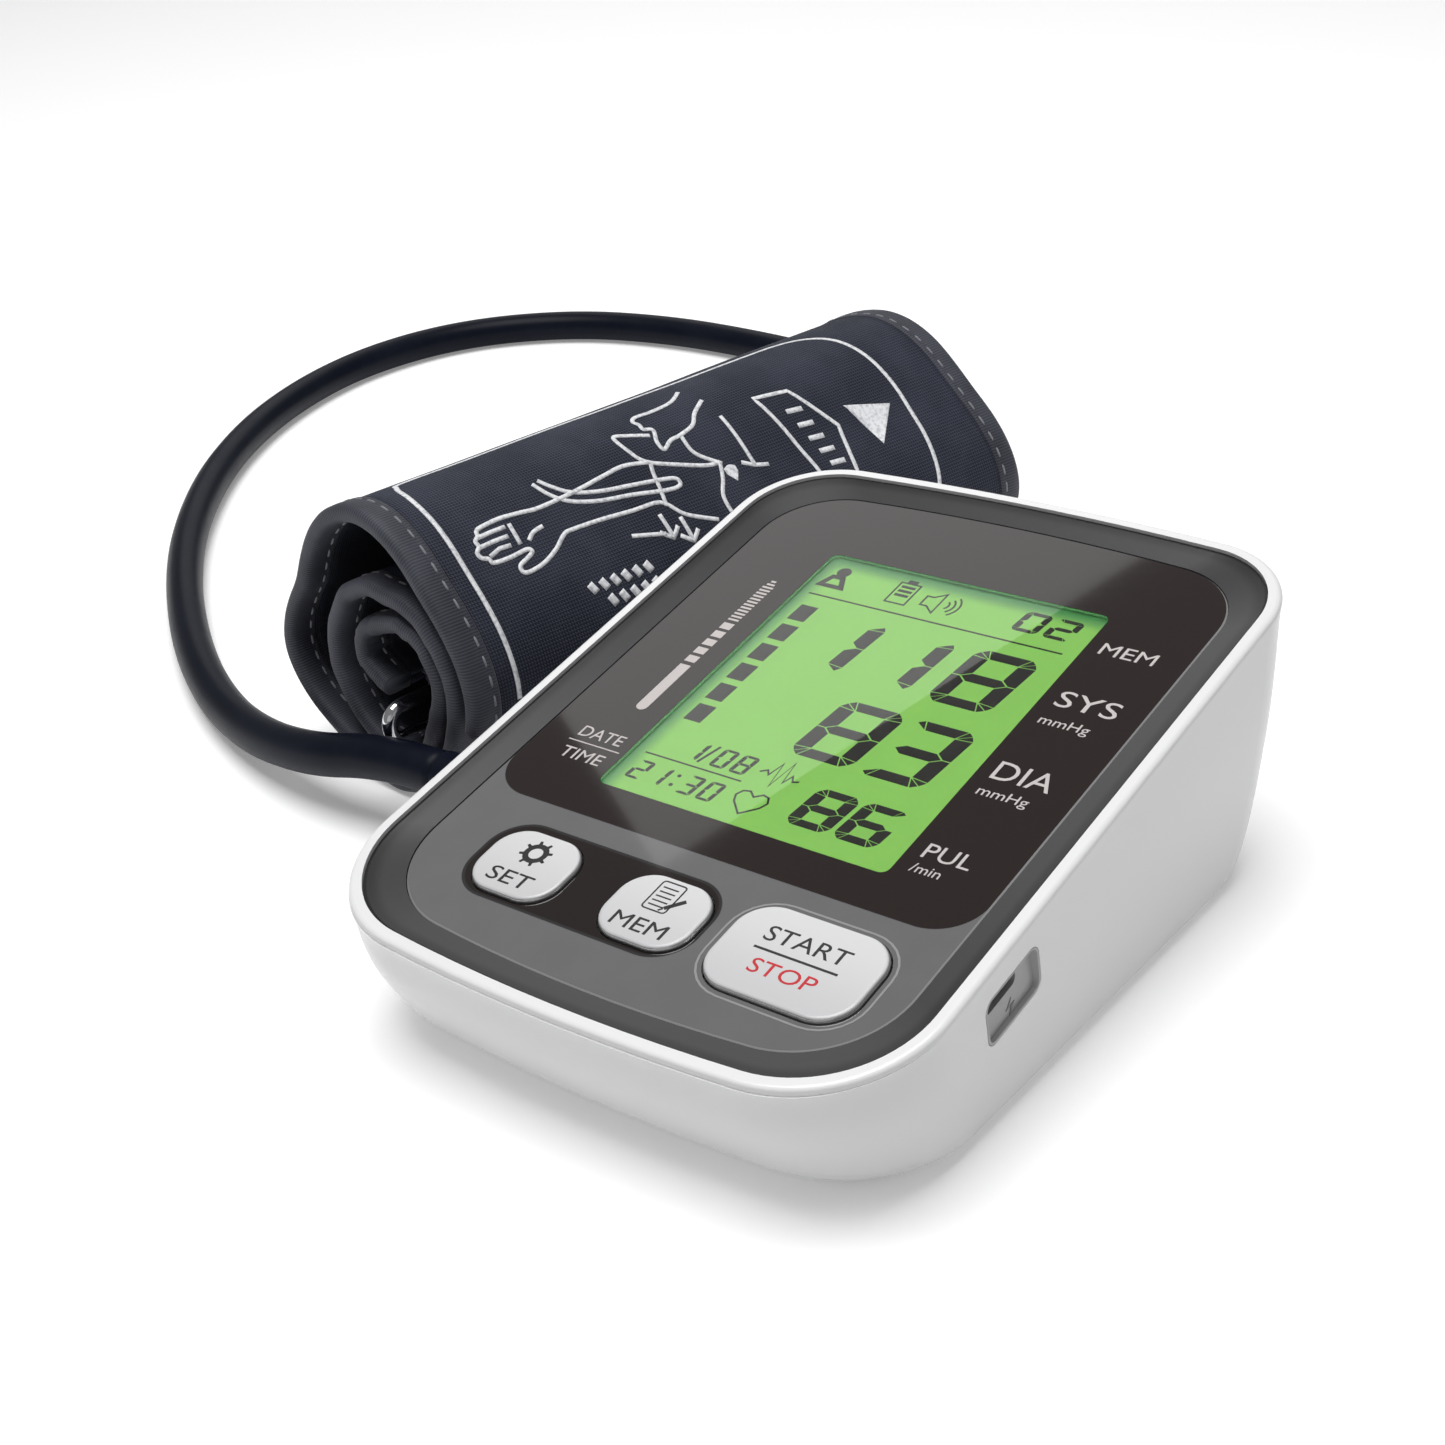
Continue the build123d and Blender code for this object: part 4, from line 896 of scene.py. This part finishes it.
class RollPrint:
    """White print on the cuff, at (along the roll, turns), as thin raised strips that follow the cloth."""

    def __init__(self):
        self.points = []
        self.faces = []

    def line(self, path, width, closed=False):
        """A line of even width with blunt ends, cut finely enough to follow the cloth."""
        fine = []
        for a, b in zip(path, path[1:] + path[:1] if closed else path[1:]):
            steps = max(1, math.ceil(abs(b[1] - a[1]) / 0.006), math.ceil(abs(b[0] - a[0]) / 2.5))
            fine += [tuple(p + (q - p) * k / steps for p, q in zip(a, b)) for k in range(steps)]
        if not closed:
            fine.append(path[-1])
        frames = [cloth_frame(p) for p in fine]
        count, first = len(frames), len(self.points)
        for i, (here, normal) in enumerate(frames):
            before = frames[i - 1][0] if closed or i else here
            after = frames[(i + 1) % count][0] if closed or i < count - 1 else here
            side = normal.cross(after - before).normalized() * width / 2
            for edge, lift in ((side, INK_OUT), (-side, INK_OUT), (-side, INK_IN), (side, INK_IN)):
                self.points.append(here + edge + normal * lift)
        runs = count if closed else count - 1
        for i in range(runs):
            a, b = first + i * 4, first + (i + 1) % count * 4
            for k in range(4):
                self.faces.append([a + k, a + (k + 1) % 4, b + (k + 1) % 4, b + k])
        if not closed:
            self.faces.append([first + k for k in range(4)])
            self.faces.append([first + (count - 1) * 4 + k for k in reversed(range(4))])

    def patch(self, side_a, side_b, across=6):
        """A filled shape between two edges with the same number of points."""
        rows = []
        for a, b in zip(side_a, side_b):
            row = []
            for k in range(across + 1):
                place = tuple(p + (q - p) * k / across for p, q in zip(a, b))
                here, normal = cloth_frame(place)
                row.append((len(self.points), len(self.points) + 1))
                self.points += [here + normal * INK_OUT, here + normal * INK_IN]
            rows.append(row)
        for low, high in zip(rows, rows[1:]):
            for k in range(across):
                self.faces.append([low[k][0], low[k + 1][0], high[k + 1][0], high[k][0]])
                self.faces.append([low[k][1], high[k][1], high[k + 1][1], low[k + 1][1]])
            for k in (0, across):
                self.faces.append([low[k][0], high[k][0], high[k][1], low[k][1]])
        for row in (rows[0], rows[-1]):
            for k in range(across):
                self.faces.append([row[k][0], row[k][1], row[k + 1][1], row[k + 1][0]])


def draw_arm(art):
    """The fitting guide's picture: a fist and its arm, the air tube, the sleeve and a helping hand."""
    fist = [(57.5, 0.228), (52.0, 0.234), (46.5, 0.231), (39.5, 0.226), (30.5, 0.222), (26.3, 0.224),
            (21.8, 0.226), (17.3, 0.224), (16.1, 0.221), (15.8, 0.216), (14.8, 0.211), (14.8, 0.204),
            (13.8, 0.198), (14.1, 0.191), (15.3, 0.187), (15.8, 0.181), (19.3, 0.180), (23.2, 0.182),
            (23.9, 0.177), (22.3, 0.172), (20.3, 0.167), (20.0, 0.159), (21.4, 0.156), (25.0, 0.160),
            (28.6, 0.170), (31.8, 0.183), (34.0, 0.185), (41.0, 0.184), (48.0, 0.181), (53.5, 0.180),
            (55.5, 0.173), (58.0, 0.153), (64.0, 0.133)]
    air_tube = [(32.4, 0.250), (34.0, 0.232), (37.0, 0.217), (42.5, 0.206), (50.0, 0.199), (57.5, 0.190),
                (60.6, 0.190), (60.8, 0.199), (58.0, 0.204), (51.0, 0.210), (44.0, 0.216), (38.5, 0.226),
                (35.5, 0.240), (33.9, 0.252)]
    sleeve = [(71.9, 0.200), (69.0, 0.201), (63.4, 0.213), (57.0, 0.230), (55.2, 0.250), (55.0, 0.270),
              (58.0, 0.266), (62.0, 0.257)]
    helping_hand = [(77.6, 0.302), (73.3, 0.290), (67.7, 0.286), (63.4, 0.286), (61.8, 0.281), (62.2, 0.274),
                    (62.0, 0.267), (63.6, 0.262), (62.2, 0.247), (62.4, 0.236), (65.0, 0.243), (67.8, 0.245),
                    (71.9, 0.251), (74.7, 0.264), (79.0, 0.277)]
    creases = [[(57.6, 0.226), (56.8, 0.214), (56.2, 0.195), (55.2, 0.172)],
               [(67.8, 0.244), (67.9, 0.220), (72.2, 0.197)],
               [(71.9, 0.200), (70.4, 0.180), (68.0, 0.158), (67.6, 0.136)],
               [(24.6, 0.191), (26.3, 0.198), (28.8, 0.201)]]
    for path in (fist, air_tube, sleeve, helping_hand, *creases):
        art.line(smooth_path(path), CUFF_PEN)
    fingers = [[(15.6, 0.214), (18.6, 0.215), (21.8, 0.215)], [(14.9, 0.203), (18.0, 0.204), (21.3, 0.204)],
               [(15.8, 0.189), (18.3, 0.194), (20.8, 0.193)], [(22.8, 0.217), (22.7, 0.204), (22.6, 0.190)]]
    marks = [[(79.0, 0.250), (79.0, 0.215), (79.0, 0.180)], [(76.4, 0.190), (79.0, 0.181), (82.0, 0.176)],
             [(44.5, 0.152), (48.0, 0.146), (51.5, 0.140)]]
    for path in fingers + marks:
        art.line(path, CUFF_PEN)


def draw_arrows_and_bars(art):
    """Two arrows beside the arm, and two rows of bars in place of words."""
    for along, high, low in ((52.6, 0.165, 0.132), (56.4, 0.153, 0.120)):
        art.line([(along, high), (along, (high + low) / 2), (along, low)], 0.9)
        art.line([(along - 2.2, low + 0.012), (along, low), (along + 2.2, low + 0.012)], 0.9)
    for turns, first, count in ((0.112, 31.0, 6), (0.092, 34.0, 5)):
        for k in range(count):
            start = first + 2.6 * k
            art.line([(start, turns + 0.006), (start + 0.4, turns), (start + 0.8, turns - 0.006)], 1.5)


def draw_pointer(art):
    """The pointer's box with a row of bars in it, a triangle beside it and a small drop on the arm."""
    art.patch([(73.2, 0.170), (71.8, 0.182), (71.8, 0.190), (73.0, 0.193)],
              [(73.2, 0.170), (74.6, 0.182), (74.6, 0.190), (73.4, 0.193)])
    art.patch([(107.0, 0.212), (107.4, 0.207), (108.6, 0.178), (110.0, 0.147)],
              [(107.0, 0.212), (109.0, 0.209), (118.0, 0.194), (110.0, 0.147)])
    box = [(88.8, 0.256), (97.3, 0.251), (102.9, 0.191), (101.0, 0.150), (100.0, 0.125), (91.8, 0.125),
           (91.7, 0.150), (90.3, 0.210)]
    art.line(box, 0.9, closed=True)
    for k in range(5):
        turns = 0.228 - 0.020 * k
        bar = [(93.4 + 0.5 * k, turns), (95.4 + 0.5 * k, turns - 0.001), (97.4 + 0.4 * k, turns - 0.002)]
        art.line(bar, 1.1)


def make_cuff_print():
    """Generic fitting guide on the cuff, inside one long frame line."""
    art = RollPrint()
    draw_arm(art)
    frame_line = [(10.0, 0.03), (10.0, 0.10), (10.0, 0.20), (10.3, 0.285), (11.8, 0.318), (16.0, 0.33),
                  (40.0, 0.33), (70.0, 0.33), (100.0, 0.33), (111.0, 0.326), (117.0, 0.31), (120.5, 0.28),
                  (122.0, 0.22), (121.0, 0.15), (119.0, 0.09), (116.0, 0.05)]
    art.line(smooth_path(frame_line, steps=10), 0.95)
    draw_arrows_and_bars(art)
    draw_pointer(art)
    m = Shade("cuff_ink", (0.80, 0.81, 0.84), 0.55)
    speck = m.noise(1400.0, 3.0)
    m.set("Base Color", m.blend(m.step(speck, 0.25, 0.6), (0.52, 0.53, 0.57), (0.86, 0.87, 0.89)))
    m.bump(speck, 0.04)
    mesh = build_mesh("cuff_print", art.points, art.faces)
    return link_mesh("cuff_print", mesh, m.material, "root")


def make_webbing(materials):
    """Webbing sewn to the strip's inner end and folded round the bar."""
    hold_s, hold_z = BAR_HOLD
    loop = [(5.6, 22.7), (7.4, 22.1), (8.9, 21.5)]
    loop += [(hold_s + 2.15 * math.cos(math.radians(a)), hold_z + 2.15 * math.sin(math.radians(a)))
             for a in range(110, -181, -24)]
    loop += [(8.6, 20.5), (7.8, 21.2)]
    left, right = sides_of_line(loop, 0.9, False)
    outline = left + right[::-1]
    steps = 60
    points, faces, strip = [], [], []
    count = len(outline)
    for i in range(steps + 1):
        along = WEBBING_MARGIN + (CUFF_WIDTH - 2 * WEBBING_MARGIN) * i / steps
        for k, (s, z) in enumerate(outline):
            wave = noise.noise(Vector((along * 0.11, s * 0.25, z * 0.25))) * 0.18
            points.append(CUFF_ORIGIN + CUFF_SIDE * (s + wave) + CUFF_AXIS * along + Vector((0, 0, z + wave)))
            strip.append((along, k * 0.9, 0.0))
    for i in range(steps):
        for k in range(count):
            j = (k + 1) % count
            faces.append([i * count + k, i * count + j, (i + 1) * count + j, (i + 1) * count + k])
    faces.append(list(range(count)))
    faces.append([steps * count + k for k in reversed(range(count))])
    mesh = strip_mesh("bar_webbing_loop", points, faces, strip)
    piece = link_mesh("bar_webbing_loop", mesh, materials["cuff_binding"], "root")
    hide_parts("bar_webbing")
    return piece


def make_cuff(materials):
    """The rolled cuff: outer cloth, bladder, lining, bindings, stitches, print and webbing."""
    low, high = BINDING_WIDTH - 0.6, CUFF_WIDTH - BINDING_WIDTH + 0.6
    outer = rolled_piece("cuff_outer_cloth", layer_profile(low, high, FABRIC_IN, FABRIC_OUT, 2.5), 1.3,
                         materials["cuff_nylon"])
    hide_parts("cuff_outer_fabric")
    lining = rolled_piece("cuff_lining_cloth", layer_profile(low, high, -FABRIC_OUT, -FABRIC_IN, 2.5), 1.3,
                          materials["cuff_lining"])
    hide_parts("cuff_inner_fabric")
    profile = layer_profile(BLADDER_MARGIN, CUFF_WIDTH - BLADDER_MARGIN, -0.36, 0.36, 6.0)
    bladder = rolled_piece("cuff_bladder_film", profile, 2.0, materials["bladder_film"],
                           window=(0.3, 1.5))
    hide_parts("cuff_bladder")
    tape = materials["cuff_binding"]
    near = rolled_piece("near_binding_tape", binding_profile(False), 0.9, tape)
    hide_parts("near_edge_binding")
    far = rolled_piece("far_binding_tape", binding_profile(True), 0.9, tape)
    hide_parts("far_edge_binding")
    stitches = make_stitches()
    art = make_cuff_print()
    webbing = make_webbing(materials)
    length = strip_turns(CUFF_WIDTH / 2, 5.0)[-1][1] * MM


# ---- The display ----
SEGMENTS = {
    "0": "abcdef", "1": "bc", "2": "abged", "3": "abgcd", "4": "fgbc", "5": "afgcd", "6": "afgedc",
    "7": "abc",
    "8": "abcdefg", "9": "abcdfg",
}


def digit_shapes(value, width, height, stroke, gap):
    """The lit segments of one digit, each with a small pointed piece at the digit's corners."""
    w, h, t, m = width, height, stroke, height / 2
    q, c = t * 0.72, t * 0.62
    reach = c * 0.42
    bars = {
        "a": [(c, h), (t, h - q), (w - t, h - q), (w - c, h)],
        "b": [(w, h - c), (w - t, h - q), (w - t, m + q / 2), (w - t / 2, m), (w, m)],
        "c": [(w, m), (w - t / 2, m), (w - t, m - q / 2), (w - t, q), (w, c)],
        "d": [(w - c, 0), (w - t, q), (t, q), (c, 0)],
        "e": [(0, c), (t, q), (t, m - q / 2), (t / 2, m), (0, m)],
        "f": [(0, m), (t / 2, m), (t, m + q / 2), (t, h - q), (0, h - c)],
        "g": [(t / 2, m), (t, m - q / 2), (w - t, m - q / 2), (w - t / 2, m), (w - t, m + q / 2),
              (t, m + q / 2)],
    }
    tips = {segment: [] for segment in bars}
    for x, inward, upper, lower in ((0, 1, "f", "e"), (w, -1, "b", "c")):
        for y, turn, flat, tall in ((h, -1, "a", upper), (0, 1, "d", lower)):
            tip = (x + inward * reach, y + turn * reach)
            inner = (x + inward * t, y + turn * q)
            tips[flat].append([(x + inward * c, y), inner, tip])
            tips[tall].append([(x, y + turn * c), tip, inner])
    shapes = []
    for segment in SEGMENTS[value]:
        shapes.append(inset(bars[segment], gap / 2))
        shapes += [inset(tip, gap / 3) for tip in tips[segment]]
    return shapes


def add_digits(art, text, left, bottom, width, height, stroke, pitch, gap, lean=0.12):
    """A row of digits that lean to the right."""
    for index, value in enumerate(text):
        x = left + index * pitch
        for shape in digit_shapes(value, width, height, stroke, gap):
            art.shape([(x + px + py * lean, bottom + py) for px, py in shape])


# digits, left, bottom, width, height, stroke, pitch, gap between segments
DIGIT_ROWS = [
    ("8", 9.8, 14.2, 11.8, 15.1, 3.2, 14.0, 0.26),
    ("11", -18.9, 14.2, 11.8, 15.1, 3.2, 13.4, 0.26),
    ("83", -3.1, -5.7, 11.9, 15.2, 3.2, 13.0, 0.26),
    ("86", 6.2, -20.0, 7.9, 9.2, 2.3, 8.6, 0.20),
    ("02", 13.2, 35.6, 4.9, 5.6, 1.25, 5.8, 0.12),
    ("08", -12.9, -13.4, 3.0, 4.6, 0.8, 3.9, 0.10),
    ("1", -18.4, -13.4, 3.0, 4.6, 0.8, 3.9, 0.10),
    ("21", -24.2, -20.9, 3.0, 4.6, 0.8, 3.9, 0.10),
    ("30", -14.0, -20.9, 3.0, 4.6, 0.8, 3.9, 0.10),
]


def display_point(x, y, level):
    """A point of the display's own layout, in millimetres of the frame."""
    return face_point(x - 0.7, y + 1.0, level)


def make_segments():
    """Everything that the display shows, as one dark layer."""
    art = Print()
    for row in DIGIT_ROWS:
        add_digits(art, *row)
    art.line([(-14.9, -13.4), (-13.5, -8.8)], 0.45)
    for y in (-19.7, -17.4):
        art.shape(circle(-15.4, y, 0.36, 10))
    for k in range(6):
        y = 27.0 - 5.96 * k
        art.shape([(-24.0, y - 2.2), (-20.6, y - 2.2), (-20.4, y + 2.2), (-23.8, y + 2.2)])
    art.line([(-24.7, 32.6), (24.8, 32.6)], 0.34)
    art.line([(-24.4, -14.6), (-5.3, -14.6)], 0.30)
    art.line([(-4.0, -11.4), (-2.9, -10.6), (-2.2, -11.6), (-1.4, -8.4), (-0.6, -13.9), (0.3, -7.6),
              (1.0, -12.4), (1.7, -10.4), (2.4, -11.6), (3.4, -11.2)], 0.32)
    heart = [(-1.2, -21.2), (-3.6, -18.9), (-4.2, -17.5), (-3.6, -16.3), (-2.4, -16.0), (-1.2, -17.0),
             (0.0, -16.0), (1.2, -16.3), (1.8, -17.5), (1.2, -18.9)]
    art.line(heart, 0.34, closed=True)
    art.line([(-10.9, 35.2), (-7.0, 35.2), (-7.0, 41.0), (-10.9, 41.0)], 0.32, closed=True)
    art.shape([(-9.9, 41.2), (-8.0, 41.2), (-8.0, 42.0), (-9.9, 42.0)])
    for k in range(3):
        y = 37.2 + 1.2 * k
        art.shape([(-10.3, y), (-7.6, y), (-7.6, y + 0.65), (-10.3, y + 0.65)])
    horn = [(-4.5, 36.4), (-3.2, 36.4), (-1.4, 34.9), (-1.4, 40.5), (-3.2, 39.0), (-4.5, 39.0)]
    art.line(horn, 0.34, closed=True)
    for radius in (1.3, 2.3, 3.3):
        art.line(circle(-0.9, 37.7, radius, 9, -48, 48), 0.34)
    art.shape(circle(-22.2, 39.9, 1.35, 16))
    art.line([(-24.5, 35.6), (-23.4, 38.3), (-21.4, 38.3), (-20.1, 35.6)], 1.0, closed=True)
    m = Shade("lcd_ink", (0.010, 0.006, 0.007), 0.6, Specular_IOR_Level=0.2)
    cloud = m.noise(200.0, 2.0)
    m.set("Base Color", m.blend(cloud, (0.008, 0.0055, 0.006), (0.014, 0.009, 0.010)))
    return art.make("lcd_segments", display_point, LCD_TOP, 0.06, m.material)


def ink_material(name, colour, roughness=0.35):
    """Printing ink with a faint unevenness."""
    m = Shade(name, colour, roughness)
    cloud = m.noise(700.0, 3.0)
    m.set("Base Color", m.blend(cloud, tuple(c * 0.9 for c in colour), colour))
    m.bump(cloud, 0.004)
    return m.material


# ---- Print on the panel and the keys ----
def make_panel_print(light):
    """Light print on the panel: function words and the scale bar."""
    art = Print()
    for text, x, y, width, cap in (
            ("MEM", 29.7, 36.4, 9.6, 3.0), ("SYS", 29.7, 22.5, 10.6, 4.0), ("mmHg", 29.7, 16.8, 8.6, 2.0),
            ("DIA", 29.7, 3.5, 10.0, 4.3), ("mmHg", 29.7, -1.65, 8.6, 2.0), ("PUL", 29.7, -16.5, 8.0, 3.2),
            ("/min", 29.7, -20.4, 5.0, 1.9)):
        art.word(text, x, y, width, cap)
    art.word("DATE", -33.7, -13.8, 8.7, 2.6, centred=True)
    art.word("TIME", -33.7, -19.2, 8.4, 2.6, centred=True)
    art.line([(-38.7, -16.4), (-28.2, -16.4)], 0.24)
    bar_left, bar_right = -33.6, -31.4
    foot = circle(-32.5, -4.6, 1.1, 9, 180, 360)
    art.shape(foot + [(bar_right, 7.4), (bar_left, 7.4)])
    for k in range(5):
        y = 8.3 + 2.5 * k
        art.shape([(bar_left, y), (bar_right, y), (bar_right, y + 1.75), (bar_left, y + 1.75)])
    for k in range(14):
        y = 20.9 + 0.93 * k
        narrow = 0.0 if k < 12 else 0.3 * (k - 11)
        art.shape([(bar_left + narrow, y), (bar_right - narrow, y), (bar_right - narrow, y + 0.48),
                   (bar_left + narrow, y + 0.48)])
    return art.make("panel_print_light", face_point, PANEL_TOP, PRINT_THICK, light)


def make_start_ring(material):
    """Thin light line round the start key."""
    art = Print()
    art.line(rounded_rectangle(26.0, -44.5, 27.9, 19.7, 7.1, 8), 0.34, closed=True)
    return art.make("start_key_line", face_point, PANEL_TOP, PRINT_THICK, material)


def gear_outline(x, y, radius, teeth):
    """Outline of a gear with square teeth, and of its hole, with the same number of points."""
    outer, inner = [], []
    for k in range(teeth):
        for share, reach in TOOTH:
            angle = 2 * math.pi * (k + share) / teeth
            outer.append((x + radius * reach * math.cos(angle), y + radius * reach * math.sin(angle)))
            inner.append((x + radius * 0.42 * math.cos(angle), y + radius * 0.42 * math.sin(angle)))
    return outer, inner


def make_key_prints(dark, red):
    """Symbols and words on the three keys."""
    art = Print()
    art.ring(*gear_outline(-24.0, -42.1, 2.8, 8))
    art.word("SET", -24.2, -48.0, 8.2, 2.9, centred=True)
    art.make("set_key_print", face_point, BUTTON_TOP, PRINT_THICK, dark, "set_button")

    art = Print()
    art.line(rounded_rectangle(0.7, -41.7, 4.3, 6.0, 0.5, 3), 0.26, closed=True)
    for k in range(5):
        art.line([(-0.8, -39.9 - 0.95 * k), (2.0, -39.9 - 0.95 * k)], 0.26)
    art.line([(2.1, -43.7), (4.4, -41.2)], 0.75)
    art.line([(1.5, -44.4), (2.0, -43.8)], 0.3)
    art.word("MEM", 0.8, -48.0, 9.6, 2.9, centred=True)
    art.make("memory_key_print", face_point, BUTTON_TOP, PRINT_THICK, dark, "memory_button")

    art = Print()
    art.word("START", 26.0, -41.3, 14.0, 3.0, centred=True)
    art.line([(18.9, -44.5), (33.1, -44.5)], 0.42)
    art.make("start_key_print", face_point, BUTTON_TOP, PRINT_THICK, dark,
             "start_stop_button")

    art = Print()
    art.word("STOP", 26.0, -47.6, 11.0, 2.8, centred=True)
    art.make("stop_key_print", face_point, BUTTON_TOP, PRINT_THICK, red, "start_stop_button")


def make_charge_symbol(material):
    """A generic charging symbol on the floor of the socket's recess."""
    art = Print()
    art.shape([(0.5, -0.9), (-1.2, -2.3), (-0.2, -2.3)])
    art.shape([(-0.5, -3.7), (1.2, -2.1), (0.2, -2.1)])
    art.make("charge_symbol", socket_wall_point, 0.0, 0.1, material)


# ---- Stage ----
def area_light(name, place, target, size, power):
    """A rectangular soft light that faces a point."""
    lamp = bpy.data.lights.new(name, "AREA")
    lamp.shape = "RECTANGLE"
    lamp.size, lamp.size_y = size
    lamp.energy = power
    light = add_object(name, lamp)
    light.location = place
    aim = Vector(target) - Vector(place)
    light.rotation_euler = aim.to_track_quat("-Z", "Y").to_euler()
    return light


def card_light(name, edge_start, edge_end, target, width, power):
    """A card with one edge on a line in space, spread away to the left of that line."""
    start, end = Vector(edge_start), Vector(edge_end)
    middle = (start + end) / 2
    run = (end - start).normalized()
    back = middle - Vector(target)
    back = (back - run * back.dot(run)).normalized()
    away = back.cross(run)
    if away.x > 0:
        away, run = -away, -run
    light = area_light(name, middle, target, ((end - start).length, width), power)
    turn = Matrix((run, away, run.cross(away))).transposed().to_4x4()
    light.matrix_world = Matrix.Translation(middle + away * width / 2) @ turn


def make_stage():
    """Pale floor, even world light and three soft studio lights."""
    mesh = bpy.data.meshes.new("floor")
    size = 6.0
    level = -0.0003
    corners = [(-size, -size, level), (size, -size, level), (size, size, level), (-size, size, level)]
    mesh.from_pydata(corners, [], [[0, 1, 2, 3]])
    floor = add_object("floor", mesh)
    m = Shade("floor_pale", (0.9, 0.9, 0.9), 0.8, Specular_IOR_Level=0.1)
    cloud = m.noise(4.0, 2.0)
    m.set("Base Color", m.blend(cloud, (0.93, 0.93, 0.93), (0.95, 0.95, 0.95)))
    m.shader.inputs["Emission Color"].default_value = (1.0, 1.0, 1.0, 1.0)
    m.shader.inputs["Emission Strength"].default_value = 0.22
    mesh.materials.append(m.material)
    world = bpy.data.worlds.new("studio")
    world.use_nodes = True
    background = world.node_tree.nodes["Background"]
    background.inputs[0].default_value = (1, 1, 1, 1)
    background.inputs[1].default_value = 0.20
    bpy.context.scene.world = world
    area_light("top_light", (-0.08, -0.08, 1.35), (-0.06, 0.05, 0.0), (0.9, 1.0), 17.0)
    area_light("front_fill", (0.5, -1.3, 0.55), (0.0, 0.0, 0.03), (1.2, 0.7), 0.6)
    card_light("left_card", (-0.368, 1.342, 1.041), (-0.860, 0.546, 1.115), (0.0, 0.0, 0.04), 0.9, 2.3)
    bpy.context.scene.view_settings.view_transform = "Standard"


make_camera()
slot_materials = make_slot_materials()
make_hose(slot_materials)
dress_nodes(slot_materials)
make_cuff(slot_materials)
make_segments()
make_panel_print(ink_material("print_light", (0.62, 0.575, 0.565)))
make_start_ring(ink_material("print_grey", (0.30, 0.30, 0.30)))
make_key_prints(ink_material("print_dark", (0.018, 0.018, 0.018)),
                ink_material("print_red", (0.60, 0.02, 0.03)))
make_charge_symbol(ink_material("print_recess", (0.12, 0.12, 0.12)))
make_stage()
